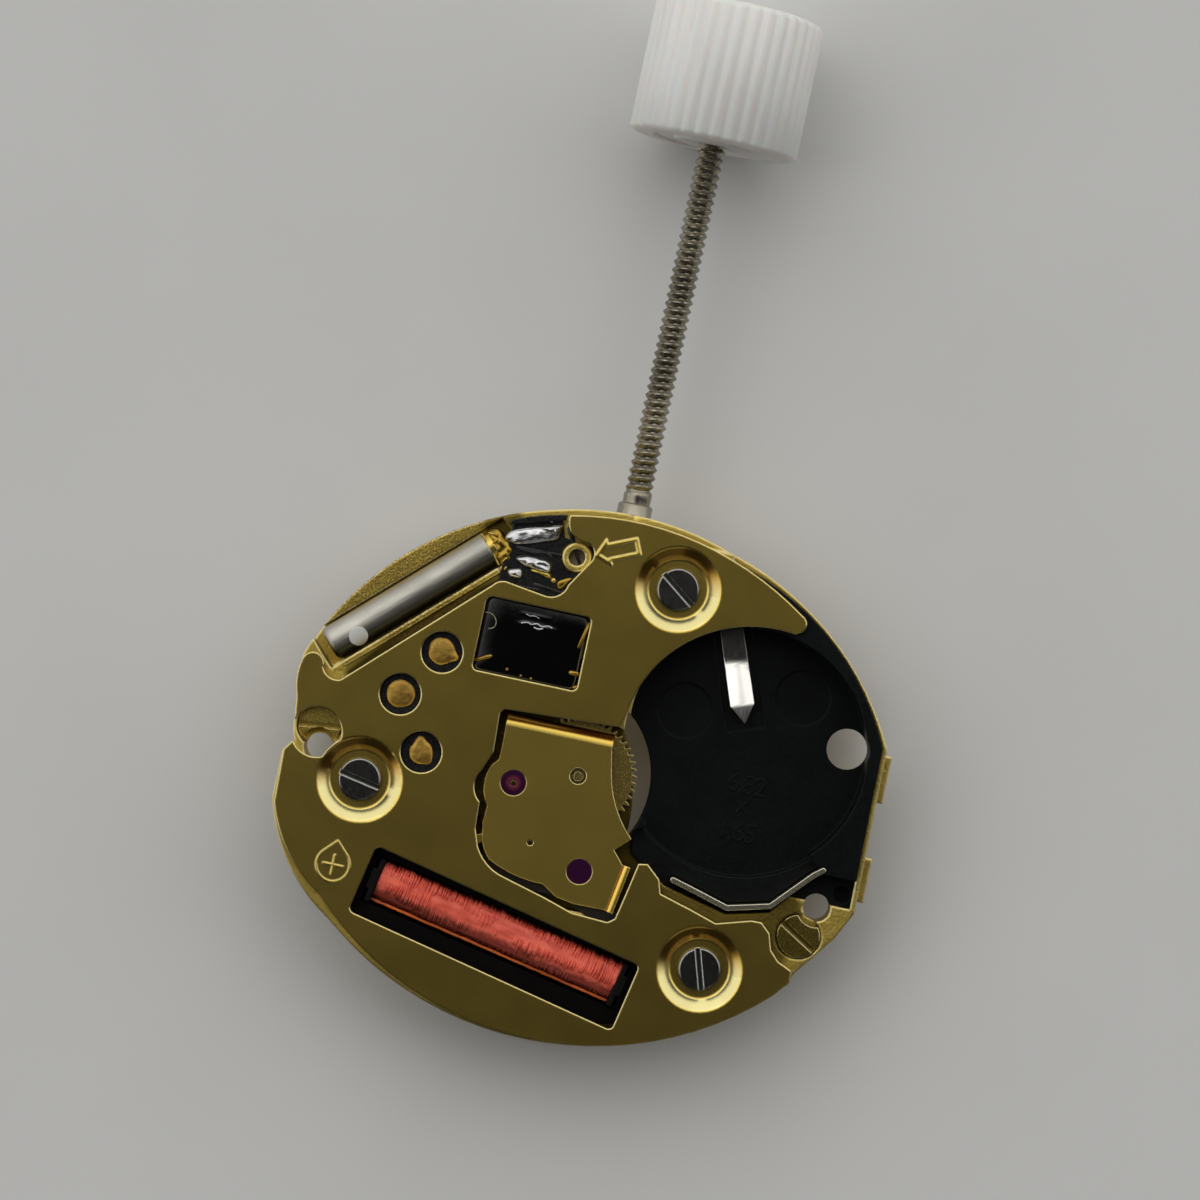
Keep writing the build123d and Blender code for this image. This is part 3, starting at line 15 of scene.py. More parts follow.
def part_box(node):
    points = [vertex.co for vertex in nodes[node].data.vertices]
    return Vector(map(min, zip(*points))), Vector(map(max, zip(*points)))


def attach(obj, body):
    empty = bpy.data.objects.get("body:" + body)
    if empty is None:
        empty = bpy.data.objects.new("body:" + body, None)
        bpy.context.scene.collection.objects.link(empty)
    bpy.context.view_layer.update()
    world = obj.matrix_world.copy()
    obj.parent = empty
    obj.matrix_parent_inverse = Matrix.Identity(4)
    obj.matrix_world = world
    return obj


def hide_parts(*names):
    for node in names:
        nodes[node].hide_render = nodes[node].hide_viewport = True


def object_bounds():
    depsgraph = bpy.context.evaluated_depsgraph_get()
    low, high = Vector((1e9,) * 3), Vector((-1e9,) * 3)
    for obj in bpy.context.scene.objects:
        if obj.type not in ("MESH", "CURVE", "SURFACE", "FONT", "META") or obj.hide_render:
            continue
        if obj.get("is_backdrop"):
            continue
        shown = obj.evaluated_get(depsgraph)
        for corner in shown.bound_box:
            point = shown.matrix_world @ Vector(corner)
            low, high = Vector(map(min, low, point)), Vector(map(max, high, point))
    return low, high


bl_info = {
    "name": "Quartz watch movement",
    "version": (1, 0, 0),
    "blender": (4, 5, 0),
    "location": "3D View > Sidebar > Movement",
    "description": "Finishes a quartz watch movement: plating, coil, stem, solder and stage",
    "category": "Object",
}

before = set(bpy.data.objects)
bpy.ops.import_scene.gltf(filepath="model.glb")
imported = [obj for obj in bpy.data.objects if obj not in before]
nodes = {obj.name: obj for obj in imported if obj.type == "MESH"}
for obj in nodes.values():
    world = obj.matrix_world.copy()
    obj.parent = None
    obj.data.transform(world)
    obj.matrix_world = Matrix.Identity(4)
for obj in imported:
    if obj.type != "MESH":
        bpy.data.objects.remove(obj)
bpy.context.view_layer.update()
MM = 0.001


# Settings that a user would change
def colour_setting(name, description, default):
    return FloatVectorProperty(name=name, description=description, subtype="COLOR", size=3,
                               min=0, max=1, default=default)


def length_setting(name, description, default):
    return FloatProperty(name=name, description=description, unit="LENGTH", min=0,
                         precision=6, default=default * MM)


class MovementFinishSettings(bpy.types.PropertyGroup):
    """Colours of the movement's materials."""
    gilt: colour_setting("Gilt", "Gold plating of the cover, bridge and plates",
                         (0.74, 0.54, 0.115))
    # Bright gilt: partly rubbed plating, partly a painted highlight along edges.
    gilt_wear_and_highlight: colour_setting("Gilt edges", "Bright gilt of specks and edges, partly rubbed plating and partly painted highlight",
                              (0.97, 0.88, 0.52))
    # Painted shade: a deeper gold laid on pressed sloping faces.
    shade_gold: colour_setting("Shade gold", "Deeper gold painted as shade on pressed sloping faces",
                          (0.75, 0.38, 0.06))
    liner: colour_setting("Liner", "Moulded plastic of the cell bay", (0.0035, 0.0045, 0.0045))
    contact: colour_setting("Contact", "Polished spring metal in the bay", (0.85, 0.835, 0.79))
    screw: colour_setting("Screws", "Hardened steel of the cover screws",
                          (0.26, 0.257, 0.235))
    jewel: colour_setting("Jewels", "Dark ruby of the bearings", (0.03, 0.004, 0.026))
    brass: colour_setting("Brass", "Turned brass of the wheels", (0.78, 0.58, 0.16))
    steel: colour_setting("Steel", "Turned steel of arbors and keyless work", (0.6, 0.58, 0.55))
    stem: colour_setting("Stem", "Oiled steel of the threaded stem", (0.36, 0.33, 0.26))
    knob: colour_setting("Knob", "Translucent plastic of the handling knob", (0.96, 0.96, 0.93))
    wire: colour_setting("Wire", "Red enamel of the coil wire", (0.97, 0.125, 0.078))
    board: colour_setting("Board", "Black lacquer of the circuit board", (0.005, 0.005, 0.005))
    copper: colour_setting("Copper", "Tinned copper of pads and leads", (0.58, 0.35, 0.075))
    solder: colour_setting("Solder", "Tin of the solder joints", (0.7, 0.7, 0.7))
    nickel: colour_setting("Nickel", "Drawn can of the crystal", (0.52, 0.5, 0.44))


class MovementSizeSettings(bpy.types.PropertyGroup):
    """Sizes of the pieces that are made here."""
    wire_width: length_setting("Wire width", "Thickness of one visible turn", 0.056)
    wire_turns: IntProperty(name="Turns", description="Visible turns of the coil", default=165,
                            min=20, max=220)
    wire_wander: FloatProperty(name="Wander", description="How unevenly the turns lie",
                               subtype="FACTOR", min=0, max=0.2, default=0.03)
    thread_pitch: length_setting("Thread pitch", "Pitch of the stem's thread", 0.245)
    thread_depth: length_setting("Thread depth", "Depth of the stem's thread", 0.1)
    knob_ribs: IntProperty(name="Ribs", description="Ribs round the knob", default=36,
                           min=8, max=80)
    digit_height: length_setting("Digit height", "Height of the moulded cell size", 0.8)


class MovementStageSettings(bpy.types.PropertyGroup):
    """Floor, light and background."""
    floor: colour_setting("Floor", "Plain pale floor", (0.7, 0.7, 0.69))
    key: FloatProperty(name="Key light", description="Brightness of the soft window light",
                       min=0, default=0.4)
    fill: FloatProperty(name="Fill light", description="Brightness of the weak light opposite",
                        min=0, default=0.25)
    dim: FloatProperty(name="Dim side", description="Brightness of the room's far side",
                       min=0, default=0.02)
    bright: FloatProperty(name="Bright side", description="Brightness of the window's side",
                          min=0, default=0.94)


# Shader helpers
def put(tree, kind, wires=None, **options):
    """Adds a node, sets its options, and gives its inputs a value or a wire each."""
    made = tree.nodes.new(kind)
    for name, value in options.items():
        setattr(made, name, value)
    for socket, value in (wires or {}).items():
        if isinstance(value, bpy.types.NodeSocket):
            tree.links.new(value, made.inputs[socket])
        else:
            made.inputs[socket].default_value = value
    return made


def number(tree, operation, first, second):
    """A number worked out from two."""
    return put(tree, "ShaderNodeMath", {0: first, 1: second}, operation=operation).outputs[0]


def vector(tree, operation, first, second):
    """A vector worked out from two, or a number for a dot product."""
    made = put(tree, "ShaderNodeVectorMath", {0: first, 1: second}, operation=operation)
    return made.outputs["Value" if operation == "DOT_PRODUCT" else "Vector"]


def ranged(tree, value, low, high, new_low, new_high):
    return put(tree, "ShaderNodeMapRange",
               {"Value": value, "From Min": low, "From Max": high, "To Min": new_low,
                "To Max": new_high}).outputs[0]


def fade(tree, value, none, full, most=1.0):
    """A share that grows from nothing at one length to most at another, in millimetres."""
    return ranged(tree, value, none * MM, full * MM, 0.0, most)


def mixed(tree, share, first, second):
    """A colour between two, each a colour or a socket."""
    mix = put(tree, "ShaderNodeMix", {0: share}, data_type="RGBA")
    for index, value in ((6, first), (7, second)):
        if isinstance(value, bpy.types.NodeSocket):
            tree.links.new(value, mix.inputs[index])
        else:
            mix.inputs[index].default_value = (*value[:3], 1)
    return mix.outputs[2]


def darker(colour, share):
    return tuple(channel * share for channel in colour[:3])


def own_place(tree):
    """Coordinates of the piece itself, in metres."""
    found = tree.nodes.get("Own place")
    return (found or put(tree, "ShaderNodeTexCoord", name="Own place")).outputs["Object"]


def place_along(tree, way):
    """How far each point lies along a direction, in metres."""
    return vector(tree, "DOT_PRODUCT", own_place(tree), way)


def height_of(tree):
    """Height of each point, in metres."""
    return place_along(tree, (0, 0, 1))


def axis_distance(tree, centre):
    """How far each point lies from an upright axis, in metres."""
    moved = vector(tree, "ADD", own_place(tree), (-centre[0] * MM, -centre[1] * MM, 0))
    flat = vector(tree, "MULTIPLY", moved, (1, 1, 0))
    return put(tree, "ShaderNodeVectorMath", {0: flat}, operation="LENGTH").outputs["Value"]


def grain(tree, size, detail=3.0, stretch=(1, 1, 1), turn=0.0):
    """Noise with grains of a given size in millimetres, drawn out along a turned axis."""
    laid = put(tree, "ShaderNodeMapping",
               {"Vector": own_place(tree), "Rotation": (0, 0, turn), "Scale": stretch},
               vector_type="TEXTURE")
    return put(tree, "ShaderNodeTexNoise",
               {"Vector": laid.outputs[0], "Scale": 1 / (size * MM), "Detail": detail}).outputs[0]


def patchy(tree, size, spread=0.15, stretch=(1, 1, 1), turn=0.0):
    """Soft patches of a given size in millimetres, as a share."""
    return ranged(tree, grain(tree, size, 3, stretch, turn), 0.5 - spread, 0.5 + spread, 0.0,
                  1.0)


def turning_marks(tree, centre, size):
    """Fine rings round an upright axis, as a lathe tool leaves them."""
    return put(tree, "ShaderNodeTexNoise",
               {"W": axis_distance(tree, centre), "Scale": 1 / (size * MM), "Detail": 2.0},
               noise_dimensions="1D").outputs[0]


def start_finish(name, colour, metallic, roughness, **sockets):
    """A material whose even values stand on the shader's own sockets."""
    finish = bpy.data.materials.new(name)
    finish.use_nodes = True
    tree = finish.node_tree
    shader = tree.nodes["Principled BSDF"]
    shader.inputs["Base Color"].default_value = (*colour, 1)
    shader.inputs["Metallic"].default_value = metallic
    shader.inputs["Roughness"].default_value = roughness
    for socket, value in sockets.items():
        shader.inputs[socket.replace("_", " ")].default_value = value
    return finish, tree, shader


def repaint(finish, share, tint):
    """Mixes a tint over a finish's colour; the share is made from its node tree."""
    tree = finish.node_tree
    base = tree.nodes["Principled BSDF"].inputs["Base Color"]
    tree.links.new(mixed(tree, share(tree), base.links[0].from_socket, tint), base)


def rounded_edges(tree, reach):
    """Normals that roll over sharp edges, and how near an edge each point lies."""
    rolled = put(tree, "ShaderNodeBevel", {"Radius": reach * MM}, samples=6).outputs[0]
    plain = put(tree, "ShaderNodeNewGeometry").outputs["Normal"]
    return rolled, ranged(tree, vector(tree, "DOT_PRODUCT", rolled, plain), 0.985, 0.8, 0.0, 1.0)


def bump(tree, shader, height, depth, under=None):
    """Adds relief of a depth in millimetres, over an earlier normal where one is given."""
    wires = {"Height": height, "Distance": depth * MM, "Strength": 1.0}
    if under is not None:
        wires["Normal"] = under
    relief = put(tree, "ShaderNodeBump", wires).outputs[0]
    tree.links.new(relief, shader.inputs["Normal"])
    return relief


def roughen(tree, shader, fine, roughness, uneven):
    """Roughness that changes with a fine grain by a share of itself."""
    tree.links.new(ranged(tree, fine, 0.3, 0.7, roughness * (1 - uneven),
                          roughness * (1 + uneven)), shader.inputs["Roughness"])


def metal(name, colour, bright, roughness, grain_size=0.05, grain_depth=0.002, mottle=0.14,
          edge=0.05, stretch=(1, 1, 1), turn=0.0, marks=None, shade_hollows=(), speckle=0.4, uneven=0.2):
    """A plated or turned metal: patchy tone, fine grain, bright edges that are partly rubbed
    plating and partly a painted highlight, and painted shade in deep hollows.

    A shaded hollow is the height below which it is darkened as painted shade, the height above
    which it is clear, the share of colour that it keeps, and the rounds that hold it, each a
    centre and a reach.
    """
    finish, tree, shader = start_finish(name, colour, 1.0, roughness)
    base = mixed(tree, patchy(tree, 1.6), darker(colour, 1 - mottle), colour)
    base = mixed(tree, ranged(tree, grain(tree, 0.11, 2), 0.66, 0.74, 0.0, speckle), base, bright)
    under = None
    # Bright edges: partly rubbed plating and partly a painted highlight where edges catch the
    # light.
    if edge:
        under, near = rounded_edges(tree, edge)
        base = mixed(tree, near, base, bright)
    # Painted shade: darker colour below a height, inside the given rounds.
    for shade_below, clear, kept, *rounds in shade_hollows:
        share = number(tree, "MULTIPLY", fade(tree, height_of(tree), clear, shade_below),
                       fade(tree, height_of(tree), 0.0, 0.05))
        for centre, reach in rounds:
            within = fade(tree, axis_distance(tree, centre), reach, reach - 0.2)
            share = number(tree, "MULTIPLY", share, within)
        base = mixed(tree, share, base, darker(colour, kept))
    tree.links.new(base, shader.inputs["Base Color"])
    fine = grain(tree, grain_size, 4, stretch, turn)
    roughen(tree, shader, fine, roughness, uneven)
    relief = bump(tree, shader, fine, grain_depth, under)
    if marks is not None:
        bump(tree, shader, turning_marks(tree, marks, 0.05), grain_depth, relief)
    return finish


def moulded(name, colour, roughness, coat=0.0, grain_size=0.08, grain_depth=0.002, edge=0.05,
            specular=0.5):
    """A moulded plastic or resin with a faint skin."""
    finish, tree, shader = start_finish(name, colour, 0.0, roughness, Coat_Weight=coat,
                                        Coat_Roughness=0.12, Specular_IOR_Level=specular)
    base = mixed(tree, patchy(tree, 1.4), darker(colour, 0.75), darker(colour, 1.2))
    under, near = rounded_edges(tree, edge)
    # Lighter edges: a painted highlight where edges catch the light.
    base = mixed(tree, ranged(tree, near, 0, 1, 0, 0.5), base, darker(colour, 3.0))
    tree.links.new(base, shader.inputs["Base Color"])
    fine = grain(tree, grain_size, 4)
    roughen(tree, shader, fine, roughness, 0.2)
    bump(tree, shader, fine, grain_depth, under)
    return finish


# Piece helpers
def linked(name, data):
    """A new object in the scene."""
    made = bpy.data.objects.new(name, data)
    bpy.context.scene.collection.objects.link(made)
    return made


def baked(carrier):
    """The mesh that an object shows. The object itself is removed."""
    bpy.context.view_layer.update()
    mesh = bpy.data.meshes.new_from_object(
        carrier.evaluated_get(bpy.context.evaluated_depsgraph_get()))
    bpy.data.objects.remove(carrier)
    return mesh


def dress(finish, *names):
    """Gives carried-over solids their material."""
    for name in names:
        for slot in nodes[name].material_slots:
            slot.material = finish


def add_piece(name, mesh, body, slot, finish, *stands_for):
    """Adds a mesh in metres, riding on a body, in place of the nodes it stands for."""
    piece = linked(name, mesh)
    mesh.materials.clear()
    mesh.materials.append(finish)
    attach(piece, body)
    if stands_for:
        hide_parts(*stands_for)


def build_piece(name, shape, body, slot, finish, *stands_for, smooth=40):
    """Adds a bmesh in millimetres as a piece whose edges over a smooth angle stay sharp."""
    bmesh.ops.transform(shape, matrix=Matrix.Scale(MM, 4), verts=shape.verts)
    for face in shape.faces:
        face.smooth = True
    for edge in shape.edges:
        if len(edge.link_faces) == 2 and edge.calc_face_angle(0) > math.radians(smooth):
            edge.smooth = False
    mesh = bpy.data.meshes.new(name)
    shape.to_mesh(mesh)
    shape.free()
    add_piece(name, mesh, body, slot, finish, *stands_for)


def turned_angles(count):
    """The angles of count even steps round a circle."""
    return [2 * math.pi * step / count for step in range(count)]


def oval(start, end, half_width, power=2.6, count=40):
    """Rim points of a drawn-out rounded patch between two places."""
    first, last = Vector(start), Vector(end)
    along = (last - first).normalized()
    across = Vector((-along.y, along.x))
    half_length = (last - first).length / 2
    points = []
    for angle in turned_angles(count):
        x, y = (math.copysign(abs(side) ** (2 / power), side) * half for side, half in
                ((math.cos(angle), half_length), (math.sin(angle), half_width)))
        points.append((first + last) / 2 + along * x + across * y)
    return points


def blob(corners, steps=6):
    """Smooth closed rim through given corners."""
    points = []
    for i in range(len(corners)):
        before, here, ahead, beyond = (Vector(corners[(i + k) % len(corners)])
                                       for k in (-1, 0, 1, 2))
        for step in range(steps):
            t = step / steps
            points.append(0.5 * (2 * here + (ahead - before) * t
                                 + (2 * before - 5 * here + 4 * ahead - beyond) * t ** 2
                                 + (3 * here - before - 3 * ahead + beyond) * t ** 3))
    return points


def splash(centre, radius, tails=(), ragged=0.06, seed=0, count=48):
    """Rim points of a round patch with tails, each an angle in degrees, a reach and a spread."""
    points = []
    for angle in turned_angles(count):
        way = Vector((math.cos(angle), math.sin(angle)))
        reach = radius * (1 + ragged * noise.noise(Vector((way.x * 1.7, way.y * 1.7, seed))))
        for heading, length, spread in tails:
            off = (angle - math.radians(heading) + math.pi) % (2 * math.pi) - math.pi
            reach += length * math.exp(-(off / math.radians(spread)) ** 2)
        points.append(Vector(centre) + way * reach)
    return points


def band(shape, near, far):
    """Joins two rings of equal count with faces."""
    count = len(near)
    for i in range(count):
        j = (i + 1) % count
        shape.faces.new((near[i], near[j], far[j], far[i]))


def skin(shape, rings):
    """Closes rings of places, of equal count, into a solid with flat ends."""
    rings = [[shape.verts.new(spot) for spot in ring] for ring in rings]
    for near, far in zip(rings, rings[1:]):
        band(shape, near, far)
    shape.faces.new(rings[0])
    shape.faces.new(list(reversed(rings[-1])))
    bmesh.ops.recalc_face_normals(shape, faces=shape.faces)


def crowned(shape, rim, low, high, rings=7, crown=0.6, lump=0.0, grain_size=0.25, seed=0,
            ground=None):
    """Adds a closed patch: a rim, a crown that rises inside it, and a flat underside."""
    shoulder, lump_onset, foot_depth = 2.4, 3, 0.02
    middle = sum(rim, Vector((0, 0))) / len(rim)
    rows = []
    for share in (1 - ring / rings for ring in range(rings)):
        row = []
        for spot in (middle.lerp(point, share) for point in rim):
            rise = (1 - share ** shoulder) ** crown
            wave = noise.noise(Vector((spot.x, spot.y, seed)) / grain_size)
            top = max(rise + lump * wave * min(1, lump_onset * rise), 0)
            base = ground(spot) if ground else 0
            row.append(shape.verts.new((spot.x, spot.y, base + low + (high - low) * top)))
        rows.append(row)
    base = ground(middle) if ground else 0
    peak = shape.verts.new((middle.x, middle.y, base + high + lump * (high - low) * noise.noise(
        Vector((middle.x, middle.y, seed)) / grain_size)))
    for lower, upper in zip(rows, rows[1:]):
        band(shape, lower, upper)
    for i in range(len(rim)):
        shape.faces.new((rows[-1][i], rows[-1][(i + 1) % len(rim)], peak))
    foot = [shape.verts.new((v.co.x, v.co.y, v.co.z - foot_depth)) for v in rows[0]]
    band(shape, foot, rows[0])
    shape.faces.new(list(reversed(foot)))


def patches(base, *forms):
    """Crowned patches over a base height. A form is a rim, its low and high, and the rest."""
    shape = bmesh.new()
    for rim, low, high, *rest in forms:
        crowned(shape, rim, base + low, base + high, *rest)
    return shape


def wire(shape, places, radius, height):
    """Adds a thin round wire laid through places at one height."""
    steps = 5
    line = blob(places + places[::-1][1:-1], steps)[:steps * (len(places) - 1) + 1]
    rings = []
    for i, spot in enumerate(line):
        way = (line[min(i + 1, len(line) - 1)] - line[max(i - 1, 0)]).normalized()
        side = Vector((-way.y, way.x)) * radius
        rings.append([(*(spot + side * math.cos(angle)), height + radius * math.sin(angle))
                      for angle in turned_angles(8)])
    skin(shape, rings)


def wires(*lines):
    """Wires as a shape. A line is its places, its radius and its height."""
    shape = bmesh.new()
    for line in lines:
        wire(shape, *line)
    return shape


def lathe(rows, count, middle_z, radius_at):
    """Skins rings along the stem's line. A row is a place, a radius and a square's half side."""
    shape = bmesh.new()
    rings = []
    for along, radius, square in rows:
        ring = []
        for angle in turned_angles(count):
            reach = radius
            if square:
                reach = min(radius, square / max(abs(math.cos(angle)), abs(math.sin(angle))))
            reach = radius_at(along, angle, reach)
            ring.append((reach * math.sin(angle), along, middle_z + reach * math.cos(angle)))
        rings.append(ring)
    skin(shape, rings)
    return shape


# Plates and bridge
class MOVEMENT_OT_plate_gilt(bpy.types.Operator):
    """Gilds the main plate, cover, keeper plate and train bridge"""
    bl_idname = "movement.plate_gilt"
    bl_label = "Gild the plates"

    # The way toward the window light; sloping faces turned toward it get a painted highlight.
    lit_way = (-0.208, 0.978, 0)
    can_land, can_land_reach = (-6.6, 5.3), 2.9
    # Painted shade: darker gilt where shade falls in hollows and under parts.
    painted_shade_hollows = (
        (1.12, 1.3, 0.12, ((0, -1), 4.3)),
        (1.5, 1.6, 0.3, ((4.9, -3.0), 2.3)),
        (1.8, 1.9, 0.02, ((2.39, -6.83), 0.5)),
        (1.68, 1.72, 0.3, ((-3.6, 6.6), 0.7)),
        (1.5, 1.6, 0.1, ((8.51, -11.15), 20.25), ((-5.15, 3.45), 2.9)),
    )

    def execute(self, context):
        look = context.scene.movement_finishes
        cover = metal("Satin gilt", look.gilt, look.gilt_wear_and_highlight, 0.22, grain_depth=0.0002,
                      edge=0.07, speckle=0.06, uneven=0.07)
        # Painted shade on the cover's pressed sloping faces, and a painted highlight on those that
        # face the window light.
        repaint(cover, self.shaded_slopes, darker(look.shade_gold, 0.7))
        repaint(cover, self.highlit_slopes, (1.0, 0.94, 0.46))
        repaint(cover, self.signs, (0.95, 0.68, 0.12))
        plate = metal("Grainy gilt", look.gilt, look.gilt_wear_and_highlight, 0.34, grain_size=0.07,
                      grain_depth=0.009, mottle=0.3, edge=0.11, shade_hollows=self.painted_shade_hollows)
        repaint(plate, self.ledge_grain, (0.2, 0.12, 0.03))
        bridge = metal("Bridge gilt", look.gilt, look.gilt_wear_and_highlight, 0.25, grain_depth=0.0001,
                       mottle=0.1, edge=0.04, speckle=0.03, uneven=0.04)
        # Painted shade on the bridge's sloping faces.
        repaint(bridge, self.shaded_slopes, look.shade_gold)
        dress(cover, "cover_plate", "keeper_plate")
        dress(plate, "main_plate")
        dress(bridge, "train_bridge")
        return {"FINISHED"}

    def ledge_grain(self, tree):
        """Coarse dark grains of the cast land beside the can."""
        within = fade(tree, axis_distance(tree, self.can_land), self.can_land_reach,
                      self.can_land_reach - 0.3, 0.75)
        dark = ranged(tree, grain(tree, 0.05, 3), 0.44, 0.56, 1.0, 0.0)
        top = fade(tree, height_of(tree), 1.06, 1.12)
        return number(tree, "MULTIPLY", number(tree, "MULTIPLY", within, dark), top)

    def signs(self, tree):
        """The pressed arrow and drop, which stand above the cover."""
        return fade(tree, height_of(tree), 1.952, 1.96, 0.8)

    def shaded_slopes(self, tree):
        """Painted shade: pressed sloping faces turn a deeper gold as they tilt."""
        rise = vector(tree, "DOT_PRODUCT", self.facing(tree), (0, 0, 1))
        return ranged(tree, rise, 0.985, 0.8, 0.0, 0.85)

    def highlit_slopes(self, tree):
        """Painted highlight: pressed sloping faces on the side toward the window light turn pale.
        """
        side = vector(tree, "DOT_PRODUCT", self.facing(tree), self.lit_way)
        return number(tree, "MULTIPLY", self.shaded_slopes(tree),
                      ranged(tree, side, -0.2, 0.12, 0.0, 1.0))

    def facing(self, tree):
        return put(tree, "ShaderNodeNewGeometry").outputs["Normal"]


# Cell bay
class MOVEMENT_OT_finish_bay(bpy.types.Operator):
    """Finishes the liner, contact and strap of the cell bay and moulds the cell's size"""
    bl_idname = "movement.finish_bay"
    bl_label = "Finish the cell bay"

    bay_middle, bay_floor = (4.505, 1.683), 0.27
    contact_root, contact_tip = Vector((3.434, 5.080)), Vector((4.386, 2.433))
    contact_half_width = 0.35
    contact_section = ((-1, 0), (1, 0), (1, 0.05), (0.94, 0.06), (-0.94, 0.06), (-1, 0.05))
    digit_lines = (("6,82", (4.83, 0.68), -1), ("x", (4.81, 0.11), 3), ("1,65", (4.82, -0.7), 0))

    def execute(self, context):
        look = context.scene.movement_finishes
        liner = moulded("Moulded liner", look.liner, 0.38, grain_size=0.12, grain_depth=0.003,
                        edge=0.06, specular=0.11)
        tree = liner.node_tree
        shader = tree.nodes["Principled BSDF"]
        bump(tree, shader, turning_marks(tree, self.bay_middle, 0.09), 0.0015,
             shader.inputs["Normal"].links[0].from_socket)
        dress(liner, "cell_liner")
        spring = metal("Polished contact", look.contact, (1, 1, 0.97), 0.17, grain_size=0.04,
                       grain_depth=0.001, mottle=0.06, edge=0.03, stretch=(1, 8, 1))
        # Painted shade on the contact's flat root.
        repaint(spring, self.painted_shade_root, darker(look.contact, 0.3))
        dress(metal("Polished strap", (0.85, 0.79, 0.58), (1, 0.95, 0.8), 0.22, grain_size=0.04,
                    grain_depth=0.0015, mottle=0.2, edge=0.04), "positive_strap")
        self.bend_contact(spring)
        self.mould_digits(liner, context.scene.movement_sizes.digit_height / MM)
        return {"FINISHED"}

    def painted_shade_root(self, tree):
        """Painted shade: the contact's flat root is darkened."""
        return fade(tree, place_along(tree, (0, 1, 0)), 4.05, 4.2)

    def bend_contact(self, finish):
        """The contact as a bent strip: flat root, rising middle and a folded point."""
        along = self.contact_tip - self.contact_root
        reach = along.length
        along.normalize()
        across = Vector((-along.y, along.x))
        half = self.contact_half_width
        rows = [(place, low, half) for place, low in (
            (-0.1, 0.18), (0.94, 0.18), (1.02, 0.184), (1.12, 0.2), (1.22, 0.224),
            (1.27, 0.238), (2.24, 0.485))]
        rows += [(2.29, 0.494, half - 0.005), (2.34, 0.497, half - 0.04),
                 (reach - 0.05, 0.5, 0.045), (reach - 0.01, 0.5, 0.012)]
        shape = bmesh.new()
        rings = []
        for place, low, half in rows:
            line = self.contact_root + along * place
            spots = [(line + across * side * half, lift) for side, lift in self.contact_section]
            rings.append([(*spot, low + lift) for spot, lift in spots])
        skin(shape, rings)
        build_piece("bent_contact", shape, "movement", "contact", finish, "negative_contact",
                    smooth=25)

    def mould_digits(self, finish, height):
        shape = bmesh.new()
        for words, place, turn in self.digit_lines:
            curve = bpy.data.curves.new("digits", "FONT")
            for name, value in {"body": words, "size": height, "align_x": "CENTER",
                                "align_y": "CENTER", "space_character": 0.86, "extrude": 0.006,
                                "bevel_depth": 0.01, "bevel_resolution": 1,
                                "resolution_u": 4}.items():
                setattr(curve, name, value)
            flat = baked(linked("digits", curve))
            flat.transform(Matrix.Translation((*place, self.bay_floor)) @ Matrix.Rotation(
                math.radians(turn), 4, "Z"))
            shape.from_mesh(flat)
            bpy.data.curves.remove(curve)
            bpy.data.meshes.remove(flat)
        build_piece("cell_size_digits", shape, "movement", "liner", finish)


# Screws, train and keyless work
class MOVEMENT_OT_finish_screws(bpy.types.Operator):
    """Finishes the cover, keeper and dial screws"""
    bl_idname = "movement.finish_screws"
    bl_label = "Finish the screws"

    def execute(self, context):
        look = context.scene.movement_finishes
        dress(metal("Hardened screw", look.screw, (0.85, 0.85, 0.82), 0.17, grain_size=0.03,
                    grain_depth=0.0008, mottle=0.2, stretch=(1, 6, 1), turn=0.6),
              "cover_screws", "keeper_screws")
        # The right dial screw is given a darker gilt than the left.
        for name, node, kept, edge in (("Gilt dial screw", "dial_screw_left", 1, 0.05),
                                       ("Darker dial screw", "dial_screw_right", 0.45, 0.06)):
            dress(metal(name, darker(look.gilt, kept), look.gilt_wear_and_highlight, 0.26, grain_size=0.04,
                        grain_depth=0.0015, mottle=0.2, edge=edge), node)
        return {"FINISHED"}


